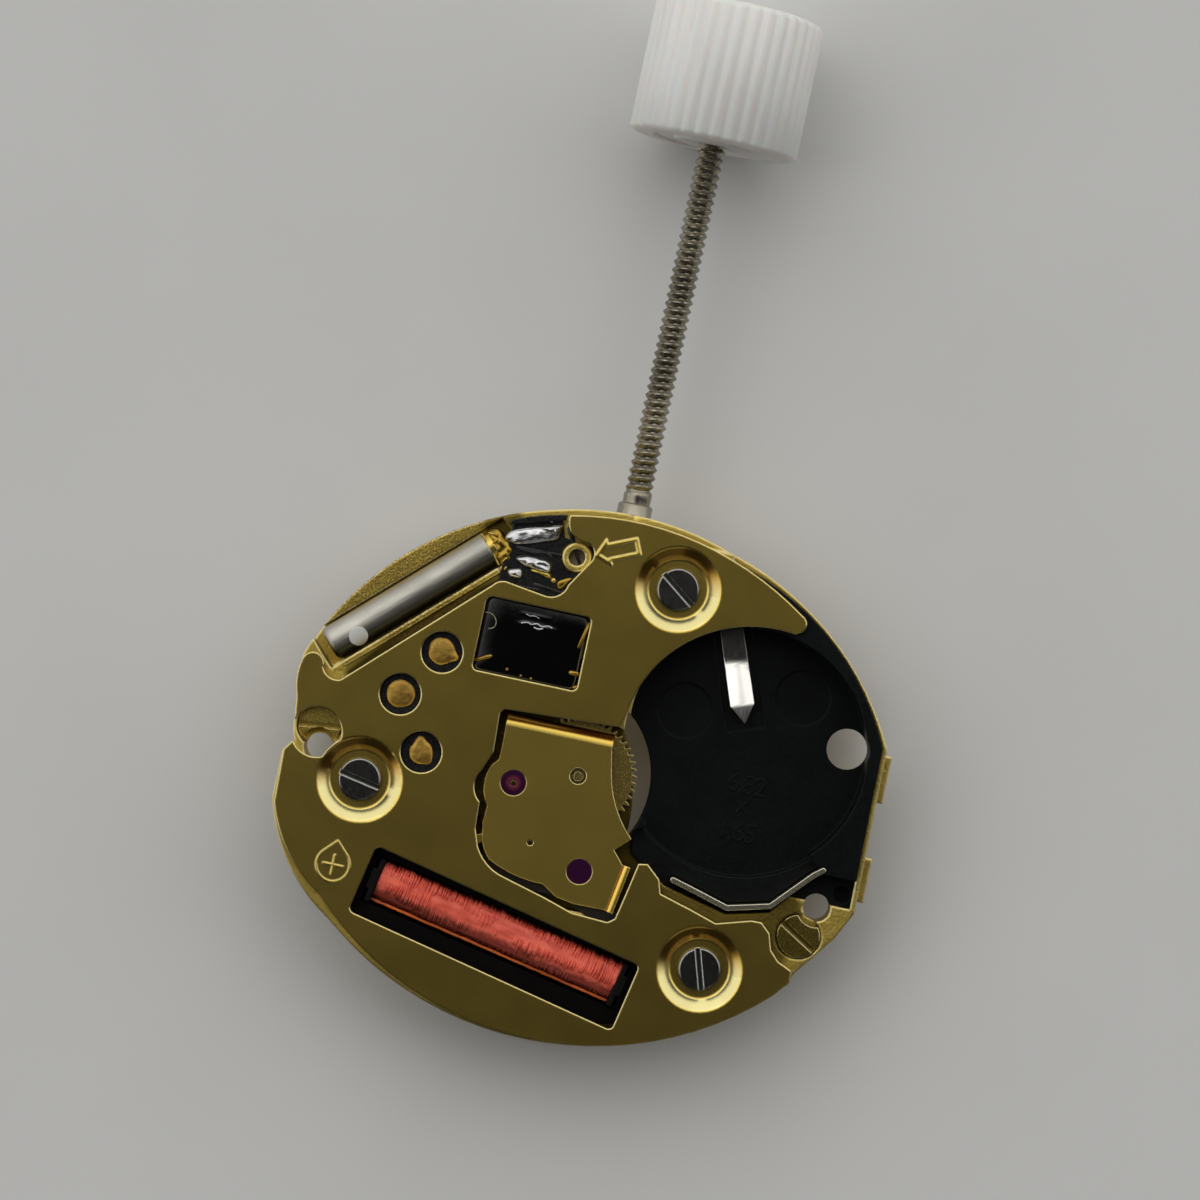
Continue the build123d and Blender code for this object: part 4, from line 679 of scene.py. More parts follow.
class MOVEMENT_OT_finish_train(bpy.types.Operator):
    """Finishes the wheels, arbors, jewels and bush"""
    bl_idname = "movement.finish_train"
    bl_label = "Finish the train"

    third_axis = (-1.768, -0.581)
    open_wheels = {"centre_wheel": (0, 0), "hour_wheel": (0, 0), "minute_wheel": (-1.122, 1.140)}
    # Wheels under the bridge get a near black brass as painted shade.
    shaded_wheels = {"third_wheel": third_axis, "intermediate_wheel": (-0.944, -2.150)}
    steel_arbors = {"cannon_pinion": (0, 0), "rotor_pinion": (0.604, -2.670),
                    "setting_wheel": (0, 2.795)}

    def execute(self, context):
        look = context.scene.movement_finishes
        brass = dict(roughness=0.24, grain_size=0.04, grain_depth=0.0012, mottle=0.12, edge=0.03)
        steel = dict(roughness=0.22, grain_size=0.04, grain_depth=0.001, mottle=0.12, edge=0.02)
        for title, wheels, colour, bright, form in (
                ("Brass of ", self.open_wheels, darker(look.brass, 0.8), (1, 0.85, 0.5), brass),
                ("Brass of ", self.shaded_wheels, darker(look.brass, 0.12), (0.5, 0.38, 0.15),
                 brass),
                ("Steel of ", self.steel_arbors, look.steel, (0.95, 0.94, 0.9), steel)):
            for name, axis in wheels.items():
                dress(metal(title + name, colour, bright, marks=axis, **form), name)
        dress(metal("Sintered magnet", darker(look.screw, 0.7), look.steel, 0.4,
                    grain_depth=0.003), "rotor_magnet")
        dress(metal("Bush brass", darker(look.brass, 0.3), (0.8, 0.65, 0.4), 0.25,
                    grain_size=0.03, grain_depth=0.001, edge=0.03), "centre_bush")
        jewel = moulded("Ruby jewel", look.jewel, 0.1, grain_size=0.1, grain_depth=0.0006)
        jewel.node_tree.nodes["Principled BSDF"].inputs["IOR"].default_value = 1.6
        repaint(jewel, self.painted_glow, (0.17, 0.03, 0.045))
        dress(jewel, "train_jewels")
        return {"FINISHED"}

    def painted_glow(self, tree):
        """Painted glow: a pinker tone round the third wheel's pivot, for light that the ruby lets
        through.
        """
        return fade(tree, axis_distance(tree, self.third_axis), 0.25, 0.1)


class MOVEMENT_OT_finish_keyless(bpy.types.Operator):
    """Finishes the clutch, yoke, setting lever and spring"""
    bl_idname = "movement.finish_keyless"
    bl_label = "Finish the keyless work"

    def execute(self, context):
        dress(metal("Pressed steel", context.scene.movement_finishes.steel, (0.95, 0.94, 0.9),
                    0.3, mottle=0.15, edge=0.04, stretch=(1, 5, 1)),
              "clutch", "yoke", "setting_lever", "lever_spring")
        return {"FINISHED"}


# Coil and motor
class MOVEMENT_OT_wind_coil(bpy.types.Operator):
    """Winds the red coil turn by turn over its bobbin and finishes the motor"""
    bl_idname = "movement.wind_coil"
    bl_label = "Wind the coil"

    turn_profile = [(0.57, 0.66), (0.59, 1.0), (0.57, 1.4), (0.46, 1.6), (0.2, 1.68),
                    (0.0, 1.66), (-0.2, 1.59), (-0.4, 1.52), (-0.46, 1.36), (-0.46, 1.16),
                    (-0.54, 1.12), (-0.58, 1.0), (-0.57, 0.66), (-0.3, 0.62), (0.3, 0.62)]
    slant = math.radians(-11.4)
    across_way = Vector((-math.sin(slant), math.cos(slant), 0))
    middle = Vector((-1.352, -4.873, 0))
    place = Matrix.Translation(middle) @ Matrix.Rotation(slant, 4, "Z")
    half_length, core_height = 3.67, 1.14
    lip_side, lip_height, lip_radius = -0.555, 1.24, 0.044
    film_half_length, film_end, film_half_width, trough_half_width = 3.95, 4.4, 1.33, 0.72
    land_top, trough_floor, film_thickness = 1.451, 0.503, 0.02
    lump_scale, lump_shift = 4200.0, (0.00007, 0.00014, 0.00018)
    row_scale, row_stretch, row_rise = 5200.0, (0.14, 1.0, 0.3), (-0.0001, 0.00005)
    lean = (0.0, 0.035, 0.05)

    def execute(self, context):
        look = context.scene.movement_finishes
        iron = dict(grain_size=0.06, grain_depth=0.003)
        # Painted shade: the stator is made near black, standing in for the shade under the cover.
        dress(metal("Shade-darkened iron", (0.05, 0.045, 0.04), (0.2, 0.19, 0.17), 0.4, **iron),
              "stator")
        dress(metal("Shaded iron", (0.03, 0.03, 0.028), (0.1, 0.1, 0.095), 0.45, **iron),
              "coil_core")
        dress(moulded("Bobbin plastic", (0.004, 0.003, 0.003), 0.4, specular=0.12),
              "coil_bobbin")
        self.cut_film()
        enamel = self.enamel(look.wire)
        add_piece("coil_turns", self.wound_turns(context.scene.movement_sizes, enamel),
                  "movement", "wire_enamel", enamel, "coil_winding")
        build_piece("coil_layers", self.inner_layers(), "movement", "wire_enamel", enamel)
        # The lower strand in brighter orange enamel, as painted highlight.
        build_piece("coil_lip", self.painted_highlight_lip(), "movement", "wire_enamel",
                    moulded("Strand with painted highlight", (0.95, 0.2, 0.04), 0.35, coat=0.2, grain_size=0.05,
                            grain_depth=0.004, edge=0.0))
        return {"FINISHED"}

    def enamel(self, colour):
        finish, tree, shader = start_finish("Wire enamel", colour, 0.0, 0.5, Coat_Weight=0.08,
                                            Coat_Roughness=0.3, Specular_IOR_Level=0.3)
        light = (min(1, colour[0] * 1.1), colour[1] * 1.5, colour[2] * 1.5)
        tone = mixed(tree, patchy(tree, 0.2, 0.15, (3, 1, 1), self.slant), darker(colour, 0.75),
                     light)
        # Painted shade: the enamel darkens to deep red along the coil's lower side, with a ragged
        # edge.
        middle = self.middle.dot(self.across_way)
        ragged = number(tree, "ADD", place_along(tree, self.across_way),
                        number(tree, "MULTIPLY", grain(tree, 0.14, 3), 0.35 * MM))
        shaded_fringe = fade(tree, ragged, middle + 0.12, middle - 0.1, 0.9)
        tree.links.new(mixed(tree, shaded_fringe, tone, darker(colour, 0.16)),
                       shader.inputs["Base Color"])
        bump(tree, shader, grain(tree, 0.02, 2, (0.5, 6, 6), self.slant), 0.006)
        return finish

    def ring(self, *spots):
        """A ring of places, from places along, across and up from the coil's middle."""
        return [self.place @ Vector(spot) for spot in spots]

    def cut_film(self):
        """Black film that darkens the land and trough round the coil: a frame on the land and a
        lining along the trough.
        """
        shape = bmesh.new()
        side, wall = self.film_half_width, self.trough_half_width
        low, high = self.land_top, self.land_top + 0.021
        lined, floor = wall - self.film_thickness, self.trough_floor
        half = [(side, low), (side, high), (lined, high), (lined, floor + 0.013)]
        under = [(wall, floor), (wall, low)]
        section = (half + [(-y, z) for y, z in reversed(half)]
                   + [(-y, z) for y, z in reversed(under)] + under)
        near, far = self.film_half_length, self.film_end
        skin(shape, [self.ring(*((along, y, z) for y, z in section))
                     for along in (-near, near)])
        for way in (-1, 1):
            skin(shape, [self.ring(*((way * x, y, up) for x, y in (
                (near, -side), (far, -side), (far, side), (near, side)))) for up in (low, high)])
        build_piece("coil_film", shape, "movement", "board",
                    moulded("Black film", (0.002, 0.0015, 0.0015), 0.6, grain_size=0.12,
                            grain_depth=0.003, edge=0.02, specular=0.06))

    def wound_turns(self, sizes, enamel):
        """The visible turns as a plain mesh, wound by geometry nodes along the bobbin."""
        path = self.turn_path()
        carrier = linked("coil_turns", bpy.data.meshes.new("coil_turns"))
        modifier = carrier.modifiers.new("Winding", "NODES")
        modifier.node_group = self.winding_tree()
        settings = {"Turn Path": path, "Turns": sizes.wire_turns,
                    "Half Length": self.half_length * MM, "Wire Width": sizes.wire_width,
                    "Wander": sizes.wire_wander, "Seed": 4, "Wire": enamel}
        for item in modifier.node_group.interface.items_tree:
            if item.item_type == "SOCKET" and item.in_out == "INPUT" and item.name in settings:
                modifier[item.identifier] = settings[item.name]
        turns = baked(carrier)
        bpy.data.objects.remove(path)
        turns.transform(Matrix.Translation(self.middle * MM) @ self.place.to_3x3().to_4x4())
        for face in turns.polygons:
            face.use_smooth = True
        turns.name = "coil_turns"
        return turns

    def turn_path(self):
        """One turn as a closed smooth curve round the bobbin, across and up."""
        curve = bpy.data.curves.new("turn", "CURVE")
        curve.dimensions = "3D"
        curve.resolution_u = 2
        spline = curve.splines.new("BEZIER")
        spline.bezier_points.add(len(self.turn_profile) - 1)
        for point, (across, up) in zip(spline.bezier_points, self.turn_profile):
            point.co = (0, across * MM, up * MM)
            point.handle_left_type = point.handle_right_type = "AUTO"
        spline.use_cyclic_u = True
        return linked("turn", curve)

    def winding_tree(self):
        tree = bpy.data.node_groups.new("Coil winding", "GeometryNodeTree")
        for way in ("INPUT", "OUTPUT"):
            tree.interface.new_socket("Geometry", in_out=way, socket_type="NodeSocketGeometry")
        for name, kind in (("Turn Path", "Object"), ("Turns", "Int"), ("Half Length", "Float"),
                           ("Wire Width", "Float"), ("Wander", "Float"), ("Seed", "Int"),
                           ("Wire", "Material")):
            tree.interface.new_socket(name, in_out="INPUT", socket_type="NodeSocket" + kind)

        def step(kind, wires, output=0, **options):
            return put(tree, kind, wires, **options).outputs[output]

        given = put(tree, "NodeGroupInput").outputs
        back = number(tree, "MULTIPLY", given["Half Length"], -1.0)
        first = step("ShaderNodeCombineXYZ", {"X": back})
        last = step("ShaderNodeCombineXYZ", {"X": given["Half Length"]})
        line = step("GeometryNodeMeshLine",
                    {"Count": given["Turns"], "Start Location": first, "Offset": last},
                    mode="END_POINTS")
        turn = step("GeometryNodeObjectInfo", {"Object": given["Turn Path"]}, "Geometry")
        short = number(tree, "SUBTRACT", 1.0, given["Wander"])
        least = step("ShaderNodeCombineXYZ", {"X": 1.0, "Y": short, "Z": short})
        size, lean = (step("FunctionNodeRandomValue", {0: low, 1: high, "Seed": given["Seed"]},
                           data_type="FLOAT_VECTOR") for low, high in (
            (least, (1.0, 1.0, 1.0)), (tuple(-angle for angle in self.lean), self.lean)))
        placed = step("GeometryNodeInstanceOnPoints",
                      {"Points": line, "Instance": turn, "Rotation": lean, "Scale": size})
        real = step("GeometryNodeRealizeInstances", {0: placed})
        spot = step("GeometryNodeInputPosition", {})
        lumps = step("ShaderNodeTexNoise",
                     {"Vector": spot, "Scale": self.lump_scale, "Detail": 2.0}, "Color")
        shift = vector(tree, "MULTIPLY", vector(tree, "SUBTRACT", lumps, (0.5, 0.5, 0.5)),
                       self.lump_shift)
        rows = step("ShaderNodeTexNoise",
                    {"Vector": vector(tree, "MULTIPLY", spot, self.row_stretch),
                     "Scale": self.row_scale, "Detail": 1.0}, "Fac")
        lift = step("ShaderNodeCombineXYZ",
                    {"Z": ranged(tree, rows, 0.35, 0.65, *self.row_rise)})
        uneven = step("GeometryNodeSetPosition",
                      {0: real, "Offset": vector(tree, "ADD", shift, lift)})
        half = number(tree, "MULTIPLY", given["Wire Width"], 0.5)
        section = step("GeometryNodeCurvePrimitiveCircle", {"Resolution": 6, "Radius": half})
        tube = step("GeometryNodeCurveToMesh", {"Curve": uneven, "Profile Curve": section})
        real_tube = step("GeometryNodeRealizeInstances", {0: tube})
        dressed = step("GeometryNodeSetMaterial",
                       {"Geometry": real_tube, "Material": given["Wire"]})
        put(tree, "NodeGroupOutput", {0: dressed})
        return tree

    def inner_layers(self):
        """Layers of wire under the visible turns, so that no gap shows through."""
        shape = bmesh.new()
        rings = []
        steps, middle = 60, self.core_height
        for step in range(steps + 1):
            along = -self.half_length + 2 * self.half_length * step / steps
            spots = []
            for across, up in self.turn_profile:
                swell = 0.955 + 0.02 * noise.noise(Vector((along * 3, across * 3, up * 3)))
                spots.append((along, across * swell, middle + (up - middle) * swell))
            rings.append(self.ring(*spots))
        skin(shape, rings)
        return shape

    def painted_highlight_lip(self):
        """The strand of wire along the lower edge; its brighter orange enamel is a painted
        highlight where it catches the light.
        """
        shape = bmesh.new()
        rings = []
        steps = 150
        for step in range(steps + 1):
            along = self.half_length * (2 * step / steps - 1)
            sway = 0.012 * noise.noise(Vector((along * 2.2, 3, 0)))
            size = self.lip_radius + 0.014 * noise.noise(Vector((along * 5, 7, 0)))
            rings.append(self.ring(*(
                (along, self.lip_side + sway + size * math.cos(angle),
                 self.lip_height + sway + size * math.sin(angle))
                for angle in turned_angles(8))))
        skin(shape, rings)
        return shape


# Stem and knob
STEM_HEIGHT = 0.9


class MOVEMENT_OT_cut_stem(bpy.types.Operator):
    """Turns the stem and cuts its thread as a true helix"""
    bl_idname = "movement.cut_stem"
    bl_label = "Cut the stem"

    tip, square, shaft, groove, hub, guide = 0.15, 0.2, 0.4, 0.28, 0.44, 0.5
    crest, end_radius, steps_per_pitch = 0.41, 0.3, 8
    collar, thread_start, thread_end = 7.944, 8.16, 18.6

    def execute(self, context):
        sizes = context.scene.movement_sizes
        pitch, depth = sizes.thread_pitch / MM, sizes.thread_depth / MM
        start, end = (corner.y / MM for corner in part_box("stem"))
        rows = [(start, self.tip - 0.04, 0), (start + 0.04, self.tip, 0),
                (start + 1.05, self.tip, 0), (start + 1.06, self.shaft, self.square),
                (4.95, self.shaft, self.square), (4.951, self.shaft, 0), (4.99, self.hub, 0),
                (5.26, self.hub, 0), (5.3, self.crest, 0), (5.31, self.groove, 0),
                (5.89, self.groove, 0), (5.9, self.guide - 0.04, 0), (5.94, self.guide, 0),
                (self.collar - 0.05, self.guide, 0), (self.collar, self.guide - 0.05, 0),
                (self.collar + 0.01, self.shaft, 0), (self.thread_start - 0.06, self.shaft, 0)]
        step = pitch / self.steps_per_pitch
        steps = int((self.thread_end - self.thread_start) / pitch * self.steps_per_pitch)
        rows += [(self.thread_start + i * step, self.crest, 0) for i in range(steps)]
        rows += [(self.thread_start + steps * step, self.end_radius, 0),
                 (end, self.end_radius, 0)]

        def thread(along, angle, reach):
            if reach != self.crest or not self.thread_start <= along <= self.thread_end:
                return reach
            phase = (along / pitch - angle / (2 * math.pi)) % 1
            crest = max(0, 1 - 2.3 * abs(phase - 0.5)) ** 0.85
            run_in = min(1, (along - self.thread_start) / pitch)
            return self.crest - depth * (1 - crest) * run_in

        finish = metal("Oiled stem steel", context.scene.movement_finishes.stem,
                       (0.85, 0.82, 0.72), 0.26, grain_size=0.03, mottle=0.35, edge=0.0,
                       stretch=(1, 0.4, 1))
        build_piece("threaded_stem", lathe(rows, 40, STEM_HEIGHT, thread), "stem", "steel",
                    finish, "stem", smooth=50)
        return {"FINISHED"}


class MOVEMENT_OT_mould_knob(bpy.types.Operator):
    """Moulds the ribbed translucent handling knob"""
    bl_idname = "movement.mould_knob"
    bl_label = "Mould the knob"

    rib_depth, rib_reach, steps_per_rib = 0.075, 0.3, 8

    def execute(self, context):
        look = context.scene.movement_finishes
        ribs = context.scene.movement_sizes.knob_ribs
        low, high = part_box("winding_knob")
        start, end, radius = low.y / MM, high.y / MM, (high.x - low.x) / 2 / MM
        rows = [(start + in_from_start, reach, 0) for in_from_start, reach in (
            (0.5, 0.43), (0.03, 0.45), (0, 0.5), (0, 1.1), (0.08, 1.16), (0.08, 1.7),
            (0, 1.76), (0, radius - 0.24), (0.05, radius - 0.1), (0.14, radius))]
        rows += [(end - in_from_end, reach, 0) for in_from_end, reach in (
            (0.2, radius), (0.06, radius - 0.12), (0, radius - 0.3), (0, 1.5), (0.1, 1.42),
            (0.1, 0.2))]

        def ribbed(along, angle, reach):
            share = max(0, min(1, (reach - radius + self.rib_reach) / self.rib_reach))
            wave = 0.5 + 0.5 * math.cos(ribs * angle)
            return reach - self.rib_depth * share * (1 - wave ** 0.6)

        shape = lathe(rows, ribs * self.steps_per_rib, STEM_HEIGHT, ribbed)
        bmesh.ops.delete(shape, geom=[f for f in shape.faces if len(f.verts) > 4],
                         context="FACES_ONLY")
        rims = [e for e in shape.edges if len(e.link_faces) == 1]
        bmesh.ops.holes_fill(shape, edges=rims, sides=0)
        bmesh.ops.recalc_face_normals(shape, faces=shape.faces)
        finish, tree, shader = start_finish(
            "Translucent knob", look.knob, 0.0, 0.4, Transmission_Weight=0.1, IOR=1.46,
            Subsurface_Weight=0.35, Subsurface_Scale=0.001)
        cloud = patchy(tree, 1.8, 0.2, (1, 3, 1))
        tree.links.new(mixed(tree, cloud, darker(look.knob, 0.86), look.knob),
                       shader.inputs["Base Color"])
        bump(tree, shader, grain(tree, 0.14, 3, (1, 14, 1)), 0.02)
        build_piece("ribbed_knob", shape, "stem", "clear_plastic", finish, "winding_knob",
                    smooth=50)
        return {"FINISHED"}


# Circuit
class MOVEMENT_OT_dress_circuit(bpy.types.Operator):
    """Finishes the board and can, pours the cap, tins the pads and lays the solder"""
    bl_idname = "movement.dress_circuit"
    bl_label = "Dress the circuit"

    can_start, can_end, can_height, can_radius = (-7.735, 2.157), (-3.834, 5.806), 1.14, 0.52
    cap_drop, track_height, strip_height = 0.03, 0.03, 1.5
    # Each wave in the resin: its middle, reach and height
    waves = ((-2.2, 4.2, 0.3, 0.02), (-2.05, 3.93, 0.5, 0.028))
    # Each pale streak, a painted highlight on the resin: its places, width and height over the
    # cap's top
    glint_streaks = (([(-2.5, 3.93), (-2.33, 3.98), (-2.2, 3.95), (-2.05, 4.0), (-1.9, 3.95),
                (-1.72, 4.0), (-1.6, 3.96)], 0.017, 0.008),
              ([(-2.12, 3.88), (-1.98, 3.86), (-1.86, 3.9)], 0.022, 0.008),
              ([(-2.42, 4.22), (-2.3, 4.18), (-2.16, 4.2), (-2.02, 4.16)], 0.012, 0.004))
    # Each lead: its ends, half width and rise
    leads = (((-3.6, 2.6), (-3.07, 2.87), 0.07, 0.01), ((-0.58, 4.38), (-0.77, 3.5), 0.06, -0.005),
             ((-0.9, 2.84), (-0.53, 2.83), 0.075, 0.01), ((-0.7, 2.4), (-0.53, 2.5), 0.05, 0.01))
    lead_dots = (((-2.62, 2.55), 0.06), ((-2.2, 2.45), 0.05), ((-1.9, 2.43), 0.05))
    bond = [(-3.56, 4.02), (-3.38, 4.01), (-3.25, 3.9), (-3.2, 3.76), (-3.25, 3.63),
            (-3.38, 3.58)]
    # Each pad: its middle, radius, tails, raggedness, seed, crown and grain seed
    pads = (((-4.55, 2.66), 0.38, [(-14, 0.14, 16), (150, 0.03, 25)], 0.1, 5, 0.45, 2),
            ((-5.45, 1.23), 0.4, [], 0.05, 9, 0.45, 5),
            ((-4.53, -0.29), 0.33, [(104, 0.16, 20), (-35, 0.08, 22)], 0.08, 1, 0.5, 8))
    long_run = [(-3.46, 6.24), (-3.3, 6.47), (-2.9, 6.64), (-2.5, 6.74), (-1.98, 6.9),
                (-1.9, 6.74), (-2.0, 6.46), (-2.3, 6.34), (-2.62, 6.22), (-3.09, 6.09),
                (-3.33, 6.12)]
    run_top = [(-2.5, 6.7), (-2.0, 6.87), (-1.95, 6.7), (-2.1, 6.6), (-2.4, 6.6)]
    middle_pillow = [(-3.04, 5.68), (-2.96, 5.79), (-2.7, 5.85), (-2.35, 5.85), (-2.02, 5.78),
                     (-1.97, 5.55), (-2.1, 5.46), (-2.4, 5.47), (-2.75, 5.54)]
    small_pillow = [(-3.2, 5.33), (-3.0, 5.42), (-2.8, 5.44), (-2.76, 5.2), (-2.95, 5.13),
                    (-3.12, 5.15)]
    flux_pool = [(-3.98, 6.3), (-3.73, 6.44), (-3.48, 6.3), (-3.25, 6.1), (-3.12, 5.94),
                 (-3.13, 5.66), (-3.02, 5.47), (-3.33, 5.33), (-3.56, 5.5), (-3.82, 5.94)]
    flux_drop = [(-1.75, 5.26), (-1.56, 5.42), (-1.33, 5.5), (-1.4, 5.33), (-1.6, 5.1)]
    # Each strip of gold: its ends and half width
    strips = (((-3.99, 6.26), (-3.62, 6.24), 0.05), ((-3.8, 5.93), (-3.6, 6.22), 0.04),
              ((-3.46, 5.44), (-3.24, 5.74), 0.04), ((-3.31, 5.26), (-3.24, 5.46), 0.045),
              ((-3.6, 5.62), (-3.4, 5.66), 0.03))
    gold_flat = [(-2.55, 5.44), (-2.27, 5.39), (-1.96, 5.33), (-1.95, 5.47), (-2.27, 5.5),
                 (-2.52, 5.52)]
    crystal_lead = [(-4.15, 6.17), (-4.06, 6.09), (-3.83, 5.83), (-3.6, 5.57), (-3.47, 5.41)]
    runs = (((-3.1, 6.02), (-1.5, 6.05)), ((-2.4, 5.1), (-1.2, 4.95)),
            ((-1.75, 6.9), (-1.2, 5.9)), ((-2.2, 4.95), (-3.2, 4.9)))
    run_wire = [(-2.98, 5.99), (-2.57, 5.97), (-2.25, 6.03), (-2.01, 5.93)]
    lacquered_edge = [(-3.36, 6.76), (-2.95, 6.93), (-2.5, 7.07), (-2.1, 7.17), (-1.83, 7.22),
                      (-1.85, 7.06), (-2.1, 6.99), (-2.5, 6.87), (-3.0, 6.72), (-3.42, 6.62)]

    def execute(self, context):
        look = context.scene.movement_finishes
        board = moulded("Board lacquer", look.board, 0.26, grain_size=0.1, grain_depth=0.003)
        dress(board, "circuit_board")
        self.board_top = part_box("circuit_board")[1].z / MM
        self.finish_can(look)
        self.pour_cap(look)
        self.tin_pads(look)
        self.solder(look)
        self.tracks(board)
        return {"FINISHED"}

    def finish_can(self, look):
        start, end = Vector(self.can_start), Vector(self.can_end)
        line = (end - start).normalized()
        slant = math.atan2(line.y, line.x)
        can = metal("Drawn nickel", look.nickel, (0.8, 0.78, 0.72), 0.42, 0.04, 0.005, 0.25,
                    stretch=(14, 1, 1), turn=slant, speckle=0.1)
        way = Vector((-math.sin(slant), math.cos(slant), 0))

        # Painted shade: the can's lower flank, toward the ridge, is darkened.
        def painted_shade_side(tree):
            middle = way.xy.dot(start)
            return fade(tree, place_along(tree, way), middle - 0.05, middle - 0.25)

        def on_can(spot):
            off = spot - start
            away = abs(off.x * line.y - off.y * line.x)
            return self.can_height + math.sqrt(max(0, self.can_radius ** 2 - away ** 2))

        repaint(can, painted_shade_side, darker(look.nickel, 0.14))
        dress(can, "quartz_can")
        dress(metal("Header gilt", look.gilt, look.gilt_wear_and_highlight, 0.3, 0.05, 0.004), "quartz_header")
        # A white translucent dot lying on the can.
        spot = splash((-6.97, 2.59), 0.27, seed=3, ragged=0.04)
        build_piece("paint_dot", patches(0, (spot, 0.002, 0.012, 5, 0.35, 0, 0.25, 0, on_can)),
                    "movement", "nickel",
                    moulded("White dot finish", (0.62, 0.62, 0.6), 0.5, 0.1, 0.06, 0.004, 0.02))

    def pour_cap(self, look):
        low, high = (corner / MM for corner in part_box("ic_cap"))
        top, middle = high.z, (low.y + high.y) / 2

        def ripple(spot):
            """Two low waves in the set resin, which catch the window's light."""
            rise = 0
            for x, y, reach, height in self.waves:
                y += 0.09 * noise.noise(Vector((spot.x * 6, y, 0)))
                height *= 0.6 + 0.8 * abs(noise.noise(Vector((spot.x * 9, y, 4))))
                rise += height * math.exp(-((spot.x - x) / reach) ** 4
                                          - ((spot.y - y) / 0.04) ** 2)
            return rise

        rim = oval((low.x, middle), (high.x, middle), (high.y - low.y) / 2, 7, 180)
        build_piece("resin_cap", patches(0, (rim, self.board_top, top - self.cap_drop, 48, 0.22,
                                             0.1, 0.9, 7, ripple)), "movement", "epoxy",
                    moulded("Black resin", (0.001, 0.001, 0.001), 0.07, 0.0, 0.7, 0.008, 0.03,
                            specular=0.8), "ic_cap", smooth=60)
        # Pale streaks on the resin: a painted highlight where its waves catch the light.
        shape = wires(*((places, width, top - self.cap_drop + up)
                        for places, width, up in self.glint_streaks))
        build_piece("resin_flakes", shape, "movement", "epoxy",
                    moulded("Painted glint streaks", (0.75, 0.78, 0.8), 0.3, 0.4, 0.03, edge=0.0))
        shape = patches(top, *(
            (oval(first, last, width, 3.4, 24), -0.09, rise - 0.02, 4, 0.4, 0.25, 0.2)
            for first, last, width, rise in self.leads), *(
            (splash(spot, size, seed=2, count=16), -0.08, -0.01, 3, 0.5)
            for spot, size in self.lead_dots))
        build_piece("resin_leads", shape, "movement", "copper",
                    metal("Gilt copper", darker(look.copper, 0.75), (1, 0.7, 0.3), 0.34, 0.04,
                          0.004, 0.3, 0.02))
        build_piece("bond_wire", wires((self.bond, 0.018, top - 0.035)), "movement",
                    "copper",
                    metal("Bond wire", (0.3, 0.26, 0.17), (0.8, 0.75, 0.6), 0.3, 0.03, 0.001))

    def tin_pads(self, look):
        shape = patches(self.board_top, *(
            (splash(*outline), 0, 0.03, 6, crown, 0.3, 0.2, seed)
            for *outline, crown, seed in self.pads))
        build_piece("tinned_pads", shape, "movement", "copper",
                    metal("Tinned pad", look.copper, (1, 0.82, 0.4), 0.36, 0.06, 0.003, 0.25, 0.0),
                    "test_pads")

    def solder(self, look):
        def slope(spot):
            return 0.07 * (spot.x + 3.4) / 1.5

        shape = patches(
            self.board_top,
            (blob(self.long_run), 0, 0.13, 10, 0.5, 0.2, 0.2, 1, slope),
            (blob(self.run_top), 0.1, 0.235, 6, 0.5, 0.5, 0.13, 5),
            (oval((-2.52, 7.0), (-2.2, 6.93), 0.03, 2.6, 20), 0, 0.05, 4, 0.5),
            (blob(self.middle_pillow), 0, 0.19, 9, 0.45, 0.22, 0.16, 4),
            (blob(self.small_pillow), 0, 0.12, 6, 0.5, 0.25, 0.2, 6))
        build_piece("solder_pillows", shape, "movement", "solder",
                    metal("Bright solder", look.solder, (0.98, 0.98, 0.96), 0.24, 0.07, 0.008,
                          0.3, 0.0, (4, 1, 1), 0.15), "solder_joints", smooth=60)
        shape = patches(
            self.board_top,
            (blob(self.flux_pool), -0.3, 0.04, 9, 0.35, 0.22, 0.2, 3),
            (blob(self.flux_drop), 0, 0.04, 5, 0.5, 0.3, 0.2, 9))
        build_piece("flux_and_gilt", shape, "movement", "solder",
                    metal("Flux and gilt", (0.56, 0.36, 0.06), (1, 0.8, 0.35), 0.3, 0.1, 0.003,
                          0.4, 0.03), smooth=60)
        shape = patches(
            self.board_top,
            *((oval(first, last, width, 2.6, 20), -0.1, 0.075, 4, 0.5, 0.2, 0.2)
              for first, last, width in self.strips),
            (splash((-1.85, 5.31), 0.085, count=16), 0, 0.06, 4, 0.5),
            (blob(self.gold_flat), 0, 0.1, 4, 0.5, 0.2, 0.2, 2))
        wire(shape, self.crystal_lead, 0.035, self.strip_height)
        build_piece("gold_leads", shape, "movement", "copper",
                    metal("Gold leads", look.gilt, look.gilt_wear_and_highlight, 0.24, 0.05, 0.004, 0.2, 0.03),
                    smooth=60)

    def tracks(self, board):
        """Lacquered copper runs that stand a little above the board, and its black edge."""
        shape = patches(self.board_top, *(
            (oval(first, last, 0.06, 5, 24), 0, self.track_height, 4, 0.3)
            for first, last in self.runs))
        wire(shape, self.run_wire, 0.035, self.board_top + self.track_height)
        build_piece("lacquered_tracks", shape, "movement", "board", board)
        shape = bmesh.new()
        skin(shape, [[(x, y, up) for x, y in self.lacquered_edge] for up in (1.74, 1.762)])
        build_piece("edge_lacquer", shape, "movement", "board", board)


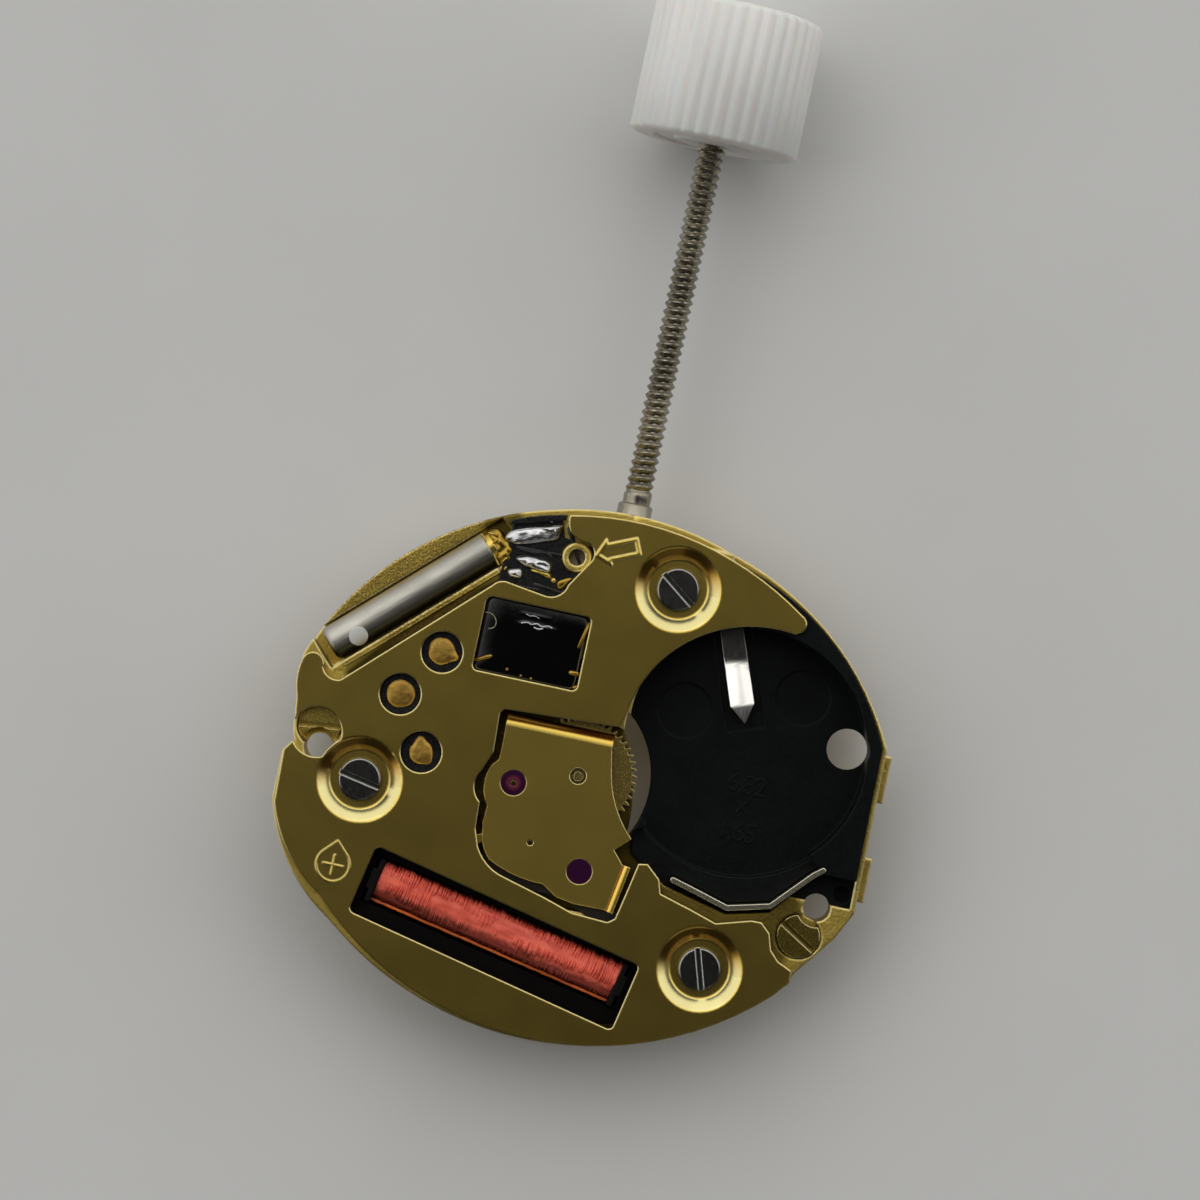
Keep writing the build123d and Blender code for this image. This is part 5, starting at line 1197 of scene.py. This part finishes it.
# Stage
class MOVEMENT_OT_set_stage(bpy.types.Operator):
    """Lays the floor and sets the lights, the background and the camera"""
    bl_idname = "movement.set_stage"
    bl_label = "Set the stage"

    image_turn = math.radians(12.06)
    ahead = Vector((-math.sin(image_turn), math.cos(image_turn), 0))
    left = Vector((-math.cos(image_turn), -math.sin(image_turn), 0))
    floor_gap, floor_half = 0.00002, 1.2
    aim, lamp_distance, lamp_shape = Vector((0, 0.003, 0.001)), 0.26, 0.7
    sensor, camera_distance, seen_width = 36, 150, 34.22

    def execute(self, context):
        stage = context.scene.movement_stage
        self.lay_floor(stage)
        self.light(stage)
        self.background(context.scene, stage)
        self.camera(context.scene)
        context.scene.view_settings.view_transform = "Standard"
        return {"FINISHED"}

    def lay_floor(self, stage):
        low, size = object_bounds()[0][2] - self.floor_gap, self.floor_half
        mesh = bpy.data.meshes.new("floor")
        mesh.from_pydata([(-size, -size, low), (size, -size, low), (size, size, low),
                          (-size, size, low)], [], [(0, 1, 2, 3)])
        floor = linked("floor", mesh)
        finish, tree, shader = start_finish("Pale floor", stage.floor, 0.0, 0.6)
        tree.links.new(mixed(tree, patchy(tree, 9.0, 0.2), darker(stage.floor, 0.96),
                             stage.floor), shader.inputs["Base Color"])
        mesh.materials.append(finish)
        floor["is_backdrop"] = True

    def light(self, stage):
        for name, way, height, size, level in (
                ("window light", self.ahead + 0.2 * self.left, 1.0, 0.21, stage.key),
                ("left window light", self.ahead + 1.5 * self.left, 1.5, 0.21, stage.key),
                ("right window light", self.ahead - 1.6 * self.left, 1.5, 0.21,
                 0.8 * stage.key),
                ("fill light", -1.0 * self.ahead - 0.3 * self.left, 0.8, 0.2, stage.fill)):
            lamp = bpy.data.lights.new(name, "AREA")
            lamp.shape = "RECTANGLE"
            lamp.size = size
            lamp.size_y = size * self.lamp_shape
            lamp.energy = level * math.pi * lamp.size * lamp.size_y
            holder = linked(name, lamp)
            way = (way.normalized() + Vector((0, 0, height))).normalized()
            holder.location = self.aim + way * self.lamp_distance
            holder.rotation_euler = way.to_track_quat("Z", "Y").to_euler()

    def background(self, scene, stage):
        """A plain room, bright on the window's side and its flanks, with a dim ceiling."""
        world = bpy.data.worlds.new("Soft room")
        world.use_nodes = True
        tree = world.node_tree
        shade = tree.nodes["Background"]
        way = put(tree, "ShaderNodeTexCoord").outputs["Generated"]
        ahead, aside = (vector(tree, "DOT_PRODUCT", way, line)
                        for line in (self.ahead, self.left))
        flanks = [number(tree, "MULTIPLY", aside, share) for share in (0.7, -0.4)]
        side = number(tree, "ADD", ahead, number(tree, "MAXIMUM", *flanks))
        bright = put(tree, "ShaderNodeMapRange",
                     {"Value": side, "From Min": 0.04, "From Max": 0.42, "To Min": stage.dim,
                      "To Max": stage.bright}, interpolation_type="SMOOTHSTEP").outputs[0]
        shade.inputs["Color"].default_value = (1.0, 0.99, 0.97, 1)
        tree.links.new(bright, shade.inputs["Strength"])
        scene.world = world

    def camera(self, scene):
        lens = bpy.data.cameras.new("photo view")
        lens.sensor_width = self.sensor
        lens.lens = self.sensor * self.camera_distance / self.seen_width
        lens.clip_start = 0.001
        view = linked("photo view", lens)
        view.location = (-0.000435, 0.00504, 0.15195)
        view.rotation_euler = (0, 0, self.image_turn)
        scene.camera = view


class MOVEMENT_PT_panel(bpy.types.Panel):
    """Lists the settings and the steps"""
    bl_label = "Quartz movement"
    bl_idname = "MOVEMENT_PT_panel"
    bl_space_type = "VIEW_3D"
    bl_region_type = "UI"
    bl_category = "Movement"

    def draw(self, context):
        for step in STEPS:
            self.layout.operator(step.bl_idname)
        for group in (context.scene.movement_sizes, context.scene.movement_finishes,
                      context.scene.movement_stage):
            box = self.layout.box()
            for name in group.__annotations__:
                box.prop(group, name)


SETTINGS = {"movement_finishes": MovementFinishSettings, "movement_sizes": MovementSizeSettings,
            "movement_stage": MovementStageSettings}
STEPS = (MOVEMENT_OT_set_stage, MOVEMENT_OT_plate_gilt, MOVEMENT_OT_finish_bay,
         MOVEMENT_OT_finish_screws, MOVEMENT_OT_finish_train, MOVEMENT_OT_finish_keyless,
         MOVEMENT_OT_wind_coil, MOVEMENT_OT_cut_stem, MOVEMENT_OT_mould_knob,
         MOVEMENT_OT_dress_circuit)


def register():
    for group in SETTINGS.values():
        bpy.utils.register_class(group)
    for name, group in SETTINGS.items():
        setattr(bpy.types.Scene, name, PointerProperty(type=group))
    for step in (*STEPS, MOVEMENT_PT_panel):
        bpy.utils.register_class(step)


def unregister():
    for step in reversed((*STEPS, MOVEMENT_PT_panel)):
        bpy.utils.unregister_class(step)
    for name, group in SETTINGS.items():
        delattr(bpy.types.Scene, name)
        bpy.utils.unregister_class(group)


def main():
    register()
    for step in STEPS:
        area, name = step.bl_idname.split(".")
        getattr(getattr(bpy.ops, area), name)()


if __name__ == "__main__":
    main()
